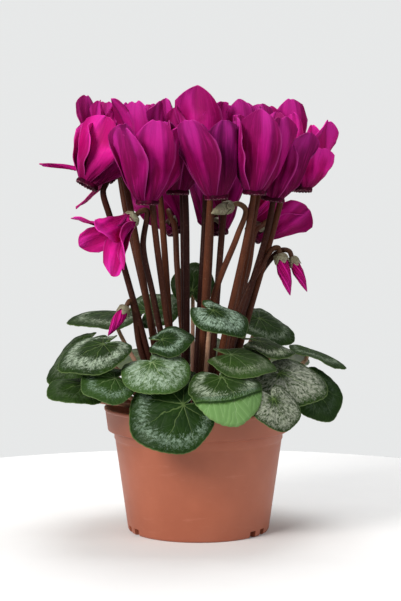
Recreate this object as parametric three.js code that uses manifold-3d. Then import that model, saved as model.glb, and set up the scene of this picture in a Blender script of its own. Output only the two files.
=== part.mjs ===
// Potted cyclamen: a round plastic pot of soil with a plant in full bloom.
// Millimetres, +Z up. The origin is the middle of the pot's underside, and -Y is the front.

import * as THREE from 'three';
import { mergeVertices } from 'three/addons/utils/BufferGeometryUtils.js';
import Module from 'manifold-3d';

const wasm = await Module();
wasm.setup();

// Driving dimensions of the pot
const POT_RADIUS = 60;
const POT_HEIGHT = 79;
const WALL = 1.5;
const RIM_BAND = 15;
const BAND_OVERHANG = 4.6;
const FOOT_RADIUS = 45;
const FOOT_HEIGHT = 3;
const FOOT_WIDTH = 5.5;
const CENTRE_FOOT_RADIUS = 13;
const POT_SIDES = 20;
const NOTCH_WIDTH = 5;
const NOTCH_HEIGHT = 4.2;
const NOTCH_GROUPS = [55, 175, 295];
const NOTCH_OFFSET = 6.5;
const NOTCH_DEPTH = 15;
const DRAIN_RADIUS = 3.2;
const DRAIN_RING = 28;
const DRAIN_COUNT = 6;
const DRAIN_SIDES = 5;

// Driving dimensions of the soil and of the tuber that is half sunk in it
const SOIL_BELOW_RIM = 9;
const SOIL_RIPPLE = 1.1;
const TUBER = { x: -4, y: 0, radius: 30, top: 78, bottom: 48 };
const TUBER_SIDES = 12;
const TUBER_STEPS = 6;
const TUBER_SQUARENESS = 0.7;
const GAP = 0.3;

// Driving dimensions of the plant
const MOUTH_RADIUS = 7;
const MOUTH_SIDES = 6;
const TUBE_HEIGHT = 7.5;
const PETAL_THICKNESS = 0.8;
const PETAL_ROOT_HALF = 3.4;
const NEIGHBOUR_MARGIN = 2.2;
const NEIGHBOUR_REACH = 70;
const NEIGHBOUR_PUSH = 1 / 1.7;
const STEM_PARTING = 52;
const TIP_POWER = 0.45;
const TIP_DROP = 0.1;
const TIP_CURL = 1.7;
const STEM_FOOT_RADIUS = 2.35;
const STEM_TOP_RADIUS = 1.5;
const STEM_SIDES = 5;
const STEM_FOOT_SHARE = 0.34;
const STEM_FOOT_LIMIT = 0.76;
const HOOK_HEIGHT = 12.5;
const CALYX_RADIUS = 4.6;
const LEAF_THICKNESS = 0.8;
const LEAF_SECTORS = 14;
const LEAF_ROLL_ACROSS = 40;
const LEAF_ROLL_ALONG = 35;
const LEAF_WAVE = 1.2;
const CLEFT_WIDTH = 0.3;
const FOLD_DROP = 0.9;
const FOLD_PULL = 0.35;
const STALK_RADIUS = 1.25;
const STALK_SIDES = 4;
const STALK_CLEARANCE = 0.65;

const TURN = Math.PI * 2;
const radians = THREE.MathUtils.degToRad;

// Plain colours, from the photograph
const COLOURS = {
  pot: { color: 0xa8604a, roughness: 0.5 },
  soil: { color: 0x2b1e17, roughness: 0.95 },
  crown: { color: 0x6b3a2c, roughness: 0.6 },
  bloom: { color: 0xa0106a, roughness: 0.55 },
  bud: { color: 0xc41a78, roughness: 0.5 },
  leaf: { color: 0x2f5a38, roughness: 0.5 },
};

// Where a petal's rows and columns lie: from the mouth, 0, to the tip, 1, and across it
const PETAL_ROWS = [0, 0.3, 0.68, 1];
const PETAL_COLUMNS = [-1, 0, 1];
const PROFILE_STEPS = 24;

// Open flowers. nose is the middle of the mouth ring, tips is the middle of the petals' tips,
// and width is a petal's width. stemSide, where it is given, is the direction from the nose to
// the stem beside it. parting is the angle from the stem to the petals on both sides of it,
// spread is how far the petals lean out, and petals holds what differs in one petal: its turn
// about the flower, its length as a part of the flower's, half its width, and its angles.
const BLOOMS = [
  {
    nose: [-69, -24, 219], tips: [-51, -18, 253], width: 26, parting: 62,
    petals: {
      3: { turn: -12, half: 16, length: 1.12, cup: 0.3, twist: 4, spread: 8 },
      4: { turn: 0, half: 13.5, length: 0.9, cup: 0.5, spread: 14 },
    },
  },
  { nose: [-60, 8, 232], tips: [-55, 10, 275], width: 22 },
  {
    nose: [-54, 40, 226], tips: [-78, 44, 248], width: 20,
    petals: {
      3: { turn: 26, length: 0.95, half: 9.5, start: 88, spread: 86, flare: 0 },
      4: { turn: -13, length: 1.55, half: 8, spread: 47, flare: 0, twist: 57, claw: 0.9 },
    },
  },
  {
    nose: [-31, -46, 208], tips: [-31, -49, 258], width: 28, stemSide: [0.25, 1, 0],
    petals: {
      0: { turn: 26 },
      1: { turn: 31, half: 14.5, twist: 4, spread: 8 },
      2: { turn: 33, half: 12.5, length: 1.04, twist: 24 },
      3: { turn: 24, spread: 13, twist: 50, flare: 14, claw: 1.3 },
      4: { turn: 10 },
    },
  },
  { nose: [-13, -20, 214], tips: [-12, -19, 260], width: 26 },
  {
    nose: [11, -48, 211], tips: [8, -50, 260], width: 28,
    petals: {
      1: { turn: 9, spread: 16, half: 15, length: 1.07, flare: 6, twist: 4 },
      2: { turn: 6, half: 13, spread: 4, twist: 8 },
      3: { turn: 4 },
    },
  },
  {
    nose: [34, -44, 214], tips: [36, -47, 264], width: 27, stemSide: [0, 1, 0],
    petals: {
      2: { half: 13.5, length: 1.04, spread: 3, twist: 12, flare: 0 },
    },
  },
  { nose: [46, -18, 210], tips: [53, -20, 254], width: 27, stemSide: [0.1, 1, 0] },
  {
    nose: [65, -2, 216], tips: [67, 2, 262], width: 22, spread: 1,
    petals: {
      1: { turn: 16, length: 0.62, half: 12, start: 60, spread: 13, flare: 6, twist: 10 },
      2: { length: 1.02, spread: 4, flare: 2, half: 12.5, twist: 38 },
    },
  },
  { nose: [36, 56, 186], tips: [66, 62, 212], width: 31, parting: 60 },
  { nose: [13, 48, 188], tips: [10, 56, 230], width: 27 },
  { nose: [-14, 52, 189], tips: [-30, 60, 226], width: 26 },
  {
    nose: [3, 8, 230], tips: [1, 6, 283], width: 28, stemSide: [0.2, 1, 0], spread: 2,
    petals: {
      0: { turn: 6, length: 0.8 },
      1: { length: 0.84 },
      2: { length: 1, half: 15.5, spread: 0, flare: 0, twist: 8, cup: 0.5 },
      3: { length: 0.84 },
      4: { turn: -6, length: 0.8 },
    },
  },
  { nose: [-37, -8, 228], tips: [-38, -6, 273], width: 26 },
  { nose: [-16, 32, 232], tips: [-14, 38, 274], width: 26 },
  { nose: [30, 13, 231], tips: [30, 15, 274], width: 26 },
  { nose: [52, 28, 228], tips: [48, 30, 273], width: 22, spread: 2 },
];

// The half-open flower, which nods: its petals point on from the calyx.
const NODDING_BLOOM = { calyx: [-40, -38, 199], tips: [-62, -50, 181], width: 18 };

// Buds. calyx is where the stem ends, tip is the closed point, foot is where the stem leaves
// the tuber, and via holds the points that the stem passes through.
const BUDS = [
  {
    calyx: [52, -2, 174], tip: [58, -4, 150], radius: 4.2, foot: [17, -7],
    via: [[26, -6, 141], [40, -4, 169], [47, -2, 179]],
  },
  {
    calyx: [60, 2, 172], tip: [69, 2, 152], radius: 3.4, foot: [18, -1],
    via: [[29, 2, 141], [44, 3, 170], [53, 3, 178]],
  },
  {
    calyx: [-46, -18, 142], tip: [-56, -24, 126], radius: 3.6, foot: [-26, -10],
    via: [[-37, -12, 118], [-41, -14, 144]],
  },
  {
    calyx: [19, -36, 206], tip: [8, -43, 202], radius: 3.6, foot: [4, -14],
    via: [[9, -20, 147], [24, -30, 188], [29, -31, 204]],
  },
];

// Leaf blades. stalk is the point where the leaf stalk meets the blade, tip is the far
// point of the blade, and up is the way its upper face looks. size is the blade's length,
// cleft is how wide its cleft is, and fold is the part of its length past which it hangs down.
const LEAVES = [
  { stalk: [-53, 27, 136], tip: [-85, 30, 138], up: [0, -0.14, 1], size: 48 },
  { stalk: [-73, -5, 118], tip: [-97, -16, 98], up: [-0.5, -0.4, 0.75], size: 46 },
  { stalk: [-58, -42, 122], tip: [-85, -58, 112], up: [-0.1, -0.32, 0.94], size: 45 },
  { stalk: [-68, -46, 98], tip: [-90, -58, 97], up: [0, -0.35, 0.93], size: 36 },
  { stalk: [-50, -58, 103], tip: [-68, -72, 99], up: [-0.1, -0.7, 0.7], size: 32 },
  { stalk: [-28, -54, 112], tip: [-16, -76, 101], up: [0, -0.5, 0.85], size: 40, cleft: 0.5 },
  { stalk: [-22, -42, 125], tip: [-4, -44, 129], up: [0, -0.5, 0.85], size: 28 },
  { stalk: [-9, -70, 88.5], tip: [-41, -80, 75.5], up: [0.1, -0.8, 0.6], size: 50 },
  { stalk: [20, -45, 116], tip: [46, -51, 113], up: [-0.1, -0.25, 0.95], size: 41 },
  { stalk: [14, -64, 104], tip: [24, -86, 96], up: [0, -0.35, 0.93], size: 43, fold: 0.36 },
  { stalk: [9, -46, 143], tip: [29, -56, 134], up: [0.05, -0.3, 0.95], size: 36 },
  { stalk: [40, 34, 132], tip: [62, 27, 122], up: [0.1, -0.35, 0.93], size: 38 },
  { stalk: [38, -21, 122], tip: [60, -19, 119], up: [0, -0.2, 1], size: 34 },
  { stalk: [71, 14, 114], tip: [96, 10, 107], up: [0.2, 0, 1], size: 38 },
  { stalk: [50, -32, 103], tip: [78, -44, 96], up: [0.15, -0.5, 0.84], size: 45 },
  { stalk: [73, -2, 92], tip: [88, -8, 74], up: [0.3, -0.7, 0.6], size: 36 },
  { stalk: [45, -63, 91], tip: [53, -73, 78], up: [0.35, -0.8, 0.5], size: 30, stalkLift: 8 },
  { stalk: [-10, -44, 101], tip: [-8, -56, 94], up: [0, -0.7, 0.7], size: 24 },
  { stalk: [-34, 50, 136], tip: [-18, 58, 148], up: [0, -0.5, 0.85], size: 34 },
  { stalk: [-4, 48, 150], tip: [-3, 52, 169], up: [0, -0.85, 0.5], size: 28 },
  { stalk: [48, 50, 112], tip: [68, 68, 104], up: [0.2, 0.3, 0.9], size: 44 },
  { stalk: [6, 64, 112], tip: [12, 88, 100], up: [0, 0.4, 0.9], size: 44 },
  { stalk: [-38, 60, 108], tip: [-52, 80, 98], up: [-0.2, 0.35, 0.9], size: 44 },
  { stalk: [-66, 26, 104], tip: [-88, 36, 94], up: [-0.3, 0.2, 0.93], size: 40 },
  { stalk: [68, 34, 98], tip: [90, 42, 86], up: [0.3, 0.1, 0.93], size: 40 },
  { stalk: [-14, 66, 94], tip: [-20, 86, 80], up: [0, 0.5, 0.85], size: 36 },
  { stalk: [30, 64, 92], tip: [40, 84, 80], up: [0.1, 0.5, 0.85], size: 36 },
];

const vector = (values) => new THREE.Vector3(...values);

// A repeatable number from 0 to 1 for a whole number
function chance(seed) {
  const wave = Math.sin(seed * 12.9898 + 4.1) * 43758.5453;
  return wave - Math.floor(wave);
}

function smoothStep(low, high, value) {
  const t = Math.min(Math.max((value - low) / (high - low), 0), 1);
  return t * t * (3 - 2 * t);
}

function makeGeometry(positions, triangles) {
  const geometry = new THREE.BufferGeometry();
  geometry.setAttribute('position', new THREE.Float32BufferAttribute(positions, 3));
  geometry.setIndex(triangles);
  return geometry;
}

function toSolid(geometry) {
  const bare = geometry.clone();
  bare.deleteAttribute('normal');
  bare.deleteAttribute('uv');
  const merged = mergeVertices(bare, 1e-4);
  const mesh = new wasm.Mesh({
    numProp: 3,
    vertProperties: new Float32Array(merged.attributes.position.array),
    triVerts: new Uint32Array(merged.index.array),
  });
  return new wasm.Manifold(mesh);
}

function toGeometry(solid) {
  const mesh = solid.getMesh();
  return makeGeometry(Array.from(mesh.vertProperties), Array.from(mesh.triVerts));
}

function join(solids) {
  return solids.reduce((whole, next) => whole.add(next));
}

// A turned solid about +Z. profile holds [radius, height] pairs, from the axis back to it.
function turned(profile, sides) {
  const points = profile.map(([radius, height]) => new THREE.Vector2(radius, height));
  const geometry = new THREE.LatheGeometry(points, sides);
  return geometry.rotateX(Math.PI / 2);
}

// A right-handed set of axes with its third axis along the given direction and its
// first as near as it can be to the hint.
function axesAlong(direction, hint) {
  const third = direction.clone().normalize();
  const first = hint.clone().addScaledVector(third, -hint.dot(third)).normalize();
  const second = third.clone().cross(first);
  return { first, second, third };
}

// A solid that has been drawn about +Z, set on a point with its axis along a direction
function placed(geometry, point, axes) {
  const matrix = new THREE.Matrix4().makeBasis(axes.first, axes.second, axes.third);
  return geometry.applyMatrix4(matrix.setPosition(point));
}

// A closed tube through the points, with its own radius at each
function taperedTube(points, radii, sides) {
  const positions = [];
  const triangles = [];
  let normal = new THREE.Vector3(0, 1, 0);
  points.forEach((point, index) => {
    const before = points[Math.max(index - 1, 0)];
    const after = points[Math.min(index + 1, points.length - 1)];
    const along = after.clone().sub(before).normalize();
    normal = normal.addScaledVector(along, -normal.dot(along)).normalize();
    const sideways = along.clone().cross(normal);
    for (let side = 0; side < sides; side += 1) {
      const angle = TURN * side / sides;
      const spot = point.clone();
      spot.addScaledVector(normal, Math.cos(angle) * radii[index]);
      spot.addScaledVector(sideways, Math.sin(angle) * radii[index]);
      positions.push(spot.x, spot.y, spot.z);
    }
  });
  for (let ring = 0; ring < points.length - 1; ring += 1) {
    for (let side = 0; side < sides; side += 1) {
      const a = ring * sides + side;
      const b = ring * sides + (side + 1) % sides;
      triangles.push(a, b, b + sides, a, b + sides, a + sides);
    }
  }
  const last = (points.length - 1) * sides;
  for (let side = 1; side < sides - 1; side += 1) {
    triangles.push(0, side + 1, side);
    triangles.push(last, last + side, last + side + 1);
  }
  return makeGeometry(positions, triangles);
}

// A thin closed blade with two faces split alike. middle holds rows of points on its
// middle surface, each row as long as the first.
function bladeFromRows(middle, thickness) {
  const rows = middle.length;
  const columns = middle[0].length;
  const positions = [];
  const triangles = [];
  const within = (value, count) => Math.min(Math.max(value, 0), count - 1);
  const at = (row, column) => middle[within(row, rows)][within(column, columns)];
  for (const face of [1, -1]) {
    for (let row = 0; row < rows; row += 1) {
      for (let column = 0; column < columns; column += 1) {
        const across = at(row, column + 1).clone().sub(at(row, column - 1));
        const along = at(row + 1, column).clone().sub(at(row - 1, column));
        const normal = across.cross(along).normalize();
        const spot = at(row, column).clone().addScaledVector(normal, face * thickness / 2);
        positions.push(spot.x, spot.y, spot.z);
      }
    }
  }
  const back = rows * columns;
  for (let row = 0; row < rows - 1; row += 1) {
    for (let column = 0; column < columns - 1; column += 1) {
      const a = row * columns + column;
      const b = a + 1;
      const c = a + columns;
      const d = c + 1;
      const mirrored = column < (columns - 1) / 2;
      const split = mirrored ? [a, b, d, a, d, c] : [a, b, c, b, d, c];
      triangles.push(...split);
      for (let corner = 0; corner < split.length; corner += 3) {
        triangles.push(split[corner] + back, split[corner + 2] + back, split[corner + 1] + back);
      }
    }
  }
  const rim = [];
  for (let column = 0; column < columns - 1; column += 1) rim.push(column);
  for (let row = 0; row < rows - 1; row += 1) rim.push(row * columns + columns - 1);
  for (let column = columns - 1; column > 0; column -= 1) rim.push((rows - 1) * columns + column);
  for (let row = rows - 1; row > 0; row -= 1) rim.push(row * columns);
  rim.forEach((from, index) => {
    const to = rim[(index + 1) % rim.length];
    triangles.push(from, from + back, to + back, from, to + back, to);
  });
  return makeGeometry(positions, triangles);
}

// The pot

function potInnerProfile() {
  const rimFoot = POT_HEIGHT - RIM_BAND;
  const bodyTop = POT_RADIUS - 2 - BAND_OVERHANG;
  return {
    floor: FOOT_HEIGHT + WALL,
    floorRadius: FOOT_RADIUS - WALL,
    stepLow: [bodyTop - WALL, rimFoot + 0.4],
    stepHigh: [POT_RADIUS - 2 - WALL, rimFoot + 1.8],
    top: [POT_RADIUS - WALL, POT_HEIGHT],
  };
}

function makePot() {
  const inner = potInnerProfile();
  const rimFoot = POT_HEIGHT - RIM_BAND;
  const bodyTop = POT_RADIUS - 2 - BAND_OVERHANG;
  const profile = [
    [0, 0],
    [CENTRE_FOOT_RADIUS, 0],
    [CENTRE_FOOT_RADIUS + 1, FOOT_HEIGHT],
    [FOOT_RADIUS - FOOT_WIDTH - 1, FOOT_HEIGHT],
    [FOOT_RADIUS - FOOT_WIDTH, 0],
    [FOOT_RADIUS - 1, 0],
    [FOOT_RADIUS, 1.2],
    [bodyTop - 0.4, rimFoot - 6],
    [bodyTop + 0.2, rimFoot - 5],
    [bodyTop + 0.4, rimFoot],
    [POT_RADIUS - 2.3, rimFoot + 0.2],
    [POT_RADIUS - 0.6, POT_HEIGHT - 2.2],
    [POT_RADIUS, POT_HEIGHT - 1.4],
    [POT_RADIUS, POT_HEIGHT],
    inner.top,
    inner.stepHigh,
    inner.stepLow,
    [inner.floorRadius, inner.floor],
    [0, inner.floor],
  ];
  let pot = toSolid(turned(profile, POT_SIDES));
  for (const group of NOTCH_GROUPS) {
    for (const offset of [-NOTCH_OFFSET, NOTCH_OFFSET]) {
      const notch = new THREE.BoxGeometry(NOTCH_WIDTH, NOTCH_DEPTH, NOTCH_HEIGHT * 2);
      notch.translate(0, -(FOOT_RADIUS - FOOT_WIDTH / 2), 0);
      notch.rotateZ(radians(group + offset));
      pot = pot.subtract(toSolid(notch));
    }
  }
  for (let index = 0; index < DRAIN_COUNT; index += 1) {
    const hole = new THREE.CylinderGeometry(DRAIN_RADIUS, DRAIN_RADIUS, 4 * WALL, DRAIN_SIDES);
    hole.rotateX(Math.PI / 2);
    hole.translate(DRAIN_RING, 0, FOOT_HEIGHT + WALL / 2);
    hole.rotateZ(TURN * index / DRAIN_COUNT);
    pot = pot.subtract(toSolid(hole));
  }
  return toGeometry(pot);
}

// The soil, with a socket that the tuber sits in

function tuberProfile(grow) {
  const middle = (TUBER.top + TUBER.bottom) / 2;
  const half = (TUBER.top - TUBER.bottom) / 2;
  const points = [];
  for (let step = 0; step <= TUBER_STEPS; step += 1) {
    const angle = Math.PI * step / TUBER_STEPS;
    const pole = step === 0 || step === TUBER_STEPS;
    const radius = pole ? 0 : (TUBER.radius + grow) * Math.sin(angle) ** TUBER_SQUARENESS;
    points.push([radius, middle - (half + grow) * Math.cos(angle)]);
  }
  return points;
}

// The height of the tuber's upper face at a distance from its middle
function tuberTop(radius) {
  const share = Math.min(radius / TUBER.radius, 1) ** (1 / TUBER_SQUARENESS);
  return (TUBER.top + TUBER.bottom) / 2 + (TUBER.top - TUBER.bottom) / 2 * Math.sqrt(1 - share * share);
}

function makeSoil() {
  const inner = potInnerProfile();
  const surface = POT_HEIGHT - SOIL_BELOW_RIM;
  const rimRadius = inner.stepHigh[0] + (surface - inner.stepHigh[1]) / RIM_BAND * 2;
  const profile = [
    [0, inner.floor + GAP],
    [inner.floorRadius - GAP - 0.1, inner.floor + GAP],
    [inner.stepLow[0] - GAP - 0.1, inner.stepLow[1] + GAP],
    [inner.stepHigh[0] - GAP - 0.1, inner.stepHigh[1] + GAP],
    [rimRadius - GAP - 0.2, surface - 0.6],
    [rimRadius - 5, surface],
    [rimRadius - 12, surface + 0.4],
    [TUBER.radius + Math.abs(TUBER.x) + 4, surface - 1],
    [0, surface - 1.2],
  ];
  const bed = turned(profile, POT_SIDES);
  const position = bed.attributes.position;
  for (let index = 0; index < position.count; index += 1) {
    const z = position.getZ(index);
    const x = position.getX(index);
    const y = position.getY(index);
    if (z > surface - 0.1 && Math.hypot(x, y) > 1) {
      const ripple = Math.sin(x * 0.31 + 1) * Math.cos(y * 0.27) + Math.sin(x * 0.83 - y * 0.71);
      const clear = smoothStep(TUBER.radius + 6, TUBER.radius + 16, Math.hypot(x, y));
      position.setZ(index, z + SOIL_RIPPLE * ripple * clear);
    }
  }
  const socket = turned(tuberProfile(GAP), TUBER_SIDES).translate(TUBER.x, TUBER.y, 0);
  return toGeometry(toSolid(bed).subtract(toSolid(socket)));
}

// The open flowers

function bloomFrame(bloom) {
  const nose = vector(bloom.nose);
  const axis = vector(bloom.tips).sub(nose);
  const length = axis.length();
  const hint = bloom.stemSide
    ? vector(bloom.stemSide)
    : new THREE.Vector3(TUBER.x - nose.x, TUBER.y - nose.y, -25);
  const axes = axesAlong(axis, hint);
  return { nose, length, axes };
}

// The nearest point of a flower's own axis, from its mouth to its tips
function nearestOnAxis(frame, point) {
  const offset = point.clone().sub(frame.nose);
  const height = Math.min(Math.max(offset.dot(frame.axes.third), 0), frame.length);
  return frame.nose.clone().addScaledVector(frame.axes.third, height);
}

// A petal is pressed back where it would come nearer to a neighbour's axis than to its own.
function keepClear(point, own, others, margin) {
  const spot = point.clone();
  for (let round = 0; round < 3; round += 1) {
    for (const other of others) {
      const home = nearestOnAxis(own, spot);
      const away = nearestOnAxis(other, spot);
      const excess = spot.distanceTo(home) + margin - spot.distanceTo(away);
      if (excess > 0) {
        const push = home.clone().sub(away).normalize();
        spot.addScaledVector(push, excess * NEIGHBOUR_PUSH);
      }
    }
  }
  return spot;
}

// One petal's middle surface. v runs from the mouth, 0, to the tip, 1, and u runs across
// the petal, from -1 to 1. The petal leaves the mouth ring outwards, turns up beside the
// flower's axis, widens and twists. It cups inwards below and curls outwards at the tip.
function petalPoint(frame, petal, u, v) {
  const stride = petal.length * v / PROFILE_STEPS;
  let out = MOUTH_RADIUS - 1.2;
  let up = 0.8;
  for (let step = 0; step < PROFILE_STEPS; step += 1) {
    const s = v * (step + 0.5) / PROFILE_STEPS;
    const turning = (petal.start - petal.spread) * Math.exp(-s / 0.2);
    const lean = petal.spread + turning + petal.flare * smoothStep(0.55, 1, s);
    out += Math.sin(lean) * stride;
    up += Math.cos(lean) * stride;
  }
  const widest = petal.claw / (petal.claw + TIP_POWER);
  const fullest = widest ** petal.claw * (1 - widest) ** TIP_POWER;
  const bulge = v ** petal.claw * Math.max(1 - v, 0) ** TIP_POWER / fullest;
  const half = PETAL_ROOT_HALF * (1 - v) ** 2 + petal.half * bulge;
  const twist = petal.twist * smoothStep(0, 0.3, v);
  const sideways = u * half + petal.sway * petal.length * v * v;
  const curl = 1 - TIP_CURL * smoothStep(0.45, 1, v);
  const cup = petal.cup * half * u * u * curl;
  const outwards = sideways * Math.sin(twist) - cup * Math.cos(twist);
  const around = sideways * Math.cos(twist) + cup * Math.sin(twist);
  const radial = frame.axes.first.clone().multiplyScalar(Math.cos(petal.angle))
    .addScaledVector(frame.axes.second, Math.sin(petal.angle));
  const tangent = frame.axes.third.clone().cross(radial);
  return frame.nose.clone()
    .addScaledVector(frame.axes.third, up)
    .addScaledVector(radial, out + outwards)
    .addScaledVector(tangent, around);
}

function petalRows(frame, petal, others) {
  const rows = [];
  for (const along of PETAL_ROWS) {
    const row = [];
    for (const u of PETAL_COLUMNS) {
      const v = along * (1 - TIP_DROP * u * u);
      row.push(keepClear(petalPoint(frame, petal, u, v), frame, others, petal.margin));
    }
    rows.push(row);
  }
  return rows;
}

// The five petals of a flower, parted round the stem, each a little unlike the next
function petalsOf(bloom, length, seed) {
  const parting = bloom.parting ?? STEM_PARTING;
  const step = (180 - parting) / 2;
  return [parting, parting + step, 180, 180 + step, 360 - parting].map((angle, index) => {
    const draw = (kind) => chance(seed * 31 + index * 7 + kind) - 0.5;
    const beside = index === 0 || index === 4;
    const own = bloom.petals?.[index] ?? {};
    return {
      angle: radians(angle + (own.turn ?? draw(1) * 10)),
      length: length * (own.length ?? 1 + draw(2) * 0.12),
      half: own.half ?? bloom.width / 2 * (beside ? 0.9 : 1) * (1 + draw(3) * 0.12),
      start: radians(own.start ?? 42),
      spread: radians(own.spread ?? (bloom.spread ?? 5) + draw(4) * 6),
      flare: radians(own.flare ?? 6 + draw(5) * 24),
      twist: radians(own.twist ?? 30 + draw(6) * 14),
      cup: own.cup ?? (beside ? 0.35 : 0.42) + draw(7) * 0.2,
      sway: 0.02,
      claw: own.claw ?? (beside ? 1.8 : 1.05),
      margin: NEIGHBOUR_MARGIN + index * 0.15,
    };
  });
}

function mouthTube(sides) {
  return turned([
    [0, 1.4],
    [MOUTH_RADIUS - 0.6, -0.6],
    [MOUTH_RADIUS + 0.3, 0.9],
    [MOUTH_RADIUS - 1.8, TUBE_HEIGHT],
    [0, TUBE_HEIGHT],
  ], sides);
}

function makeBloom(bloom, seed, frames) {
  const frame = frames[seed];
  const others = frames.filter((other) => other !== frame
    && other.nose.distanceTo(frame.nose) < NEIGHBOUR_REACH);
  const parts = [toSolid(placed(mouthTube(MOUTH_SIDES), frame.nose, frame.axes))];
  for (const petal of petalsOf(bloom, frame.length, seed + 1)) {
    parts.push(toSolid(bladeFromRows(petalRows(frame, petal, others), PETAL_THICKNESS)));
  }
  return toGeometry(join(parts));
}

// The nodding half-open flower: a short tube below the calyx and petals that spread from it

function noddingFrame() {
  const calyx = vector(NODDING_BLOOM.calyx);
  const axis = vector(NODDING_BLOOM.tips).sub(calyx);
  const axes = axesAlong(axis, new THREE.Vector3(0, -1, 0.3));
  return { nose: calyx, length: axis.length(), axes };
}

function makeNoddingBloom() {
  const frame = noddingFrame();
  const tube = turned([[0, GAP], [3.6, GAP], [5.2, 3.5], [4.6, 7], [0, 8]], MOUTH_SIDES);
  const parts = [toSolid(placed(tube, frame.nose, frame.axes))];
  const root = { ...frame, nose: frame.nose.clone().addScaledVector(frame.axes.third, 2) };
  for (let index = 0; index < 5; index += 1) {
    const petal = {
      angle: TURN * index / 5,
      length: frame.length * 1.15,
      half: NODDING_BLOOM.width / 2,
      start: radians(-34),
      spread: radians(44 + 10 * (chance(index + 90) - 0.5)),
      flare: radians(10),
      twist: radians(12),
      cup: 0.35,
      sway: 0.02,
      claw: 0.9,
      margin: 0,
    };
    parts.push(toSolid(bladeFromRows(petalRows(root, petal, []), PETAL_THICKNESS)));
  }
  return toGeometry(join(parts));
}

// Closed buds: a spindle of furled petals with a point

const BUD_SIDES = 5;

// A bud's fatness at parts of its length
const BUD_SHAPE = [[0, 0.62], [0.12, 0.9], [0.38, 1], [0.68, 0.68], [0.9, 0.28], [1, 0.08]];

function makeBud(bud) {
  const calyx = vector(bud.calyx);
  const along = vector(bud.tip).sub(calyx);
  const length = along.length();
  const direction = along.clone().normalize();
  const points = BUD_SHAPE.map(([t]) => calyx.clone().addScaledVector(direction, GAP + t * length));
  const radii = BUD_SHAPE.map(([, fatness]) => fatness * bud.radius);
  return taperedTube(points, radii, BUD_SIDES);
}

// The grown body: tuber, flower stems with hooked tops and calyxes, and leaf stalks

// A flower stem: from its foot on the tuber through the points of via and of the hook,
// and out into the calyx, whose points and radii are given
function stemSolid(foot, via, hook, calyx) {
  const sunk = tuberTop(Math.hypot(foot[0] - TUBER.x, foot[1] - TUBER.y)) - 4;
  const base = new THREE.Vector3(foot[0], foot[1], sunk);
  const rise = new THREE.Vector3(foot[0] * 1.04, foot[1] * 1.04, TUBER.top + 10);
  const lower = [base, rise, ...via];
  const curve = new THREE.CatmullRomCurve3([...lower, ...hook], false, 'centripetal');
  const segments = lower.length + hook.length - 1;
  const points = [];
  const radii = [];
  for (let segment = 0; segment <= segments; segment += 1) {
    const halves = segment > 0 && segment < lower.length - 1 ? [0, 0.5] : [0];
    for (const half of halves) {
      const t = Math.min((segment + half) / segments, 1);
      points.push(curve.getPoint(t));
      radii.push(STEM_FOOT_RADIUS + (STEM_TOP_RADIUS - STEM_FOOT_RADIUS) * t ** 0.7);
    }
  }
  for (const [point, radius] of calyx) {
    points.push(point);
    radii.push(radius);
  }
  return toSolid(taperedTube(points, radii, STEM_SIDES));
}

// Where a stem comes in below its flower: how far under the mouth, and how far towards its foot
const APPROACH_DEPTH = 22;
const APPROACH_SHARE = 0.13;

// The stem passes beside the mouth, rises among the petals and hooks over to the calyx.
function bloomStem(frame) {
  const beside = MOUTH_RADIUS + 4;
  const spot = (out, up) => frame.nose.clone()
    .addScaledVector(frame.axes.first, out)
    .addScaledVector(frame.axes.third, up);
  const foot = footUnder(frame.nose);
  const inwards = new THREE.Vector3(foot[0] - frame.nose.x, foot[1] - frame.nose.y, 0);
  const approach = spot(beside, 0).addScaledVector(inwards, APPROACH_SHARE);
  approach.z = frame.nose.z - APPROACH_DEPTH;
  const hook = [
    spot(beside, 2),
    spot(beside - 0.8, HOOK_HEIGHT - 4.5),
    spot(beside * 0.55, HOOK_HEIGHT + 1.6),
    spot(beside * 0.12, HOOK_HEIGHT + 0.4),
  ];
  const calyx = [
    [spot(0, TUBE_HEIGHT + 3.4), STEM_TOP_RADIUS + 0.3],
    [spot(0, TUBE_HEIGHT + 1.2), CALYX_RADIUS],
    [spot(0, TUBE_HEIGHT + GAP), CALYX_RADIUS - 0.3],
  ];
  return stemSolid(foot, [approach], hook, calyx);
}

// Where on the tuber a stem starts: towards its flower, well inside the tuber's edge
function footUnder(target) {
  const reach = new THREE.Vector2(target.x - TUBER.x, target.y - TUBER.y);
  const radius = Math.min(reach.length() * STEM_FOOT_SHARE, TUBER.radius * STEM_FOOT_LIMIT);
  reach.normalize().multiplyScalar(radius);
  return [TUBER.x + reach.x, TUBER.y + reach.y];
}

function noddingStem() {
  const frame = noddingFrame();
  const back = (height) => frame.nose.clone().addScaledVector(frame.axes.third, -height);
  const top = [back(9).add(new THREE.Vector3(2, 1, -1)), back(7)];
  const via = [new THREE.Vector3(-28, -24, 150), new THREE.Vector3(-34, -30, 182)];
  const calyx = [
    [back(3.2), STEM_TOP_RADIUS + 0.3],
    [back(0.9), CALYX_RADIUS],
    [back(0), CALYX_RADIUS - 0.3],
  ];
  return stemSolid([-16, -12], via, top, calyx);
}

function budStem(bud) {
  const calyxPoint = vector(bud.calyx);
  const direction = vector(bud.tip).sub(calyxPoint).normalize();
  const back = (height) => calyxPoint.clone().addScaledVector(direction, -height);
  const calyx = [
    [back(3.4), STEM_TOP_RADIUS],
    [back(1), bud.radius * 0.86],
    [back(0), bud.radius * 0.76],
  ];
  return stemSolid(bud.foot, bud.via.map(vector), [back(6)], calyx);
}

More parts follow.
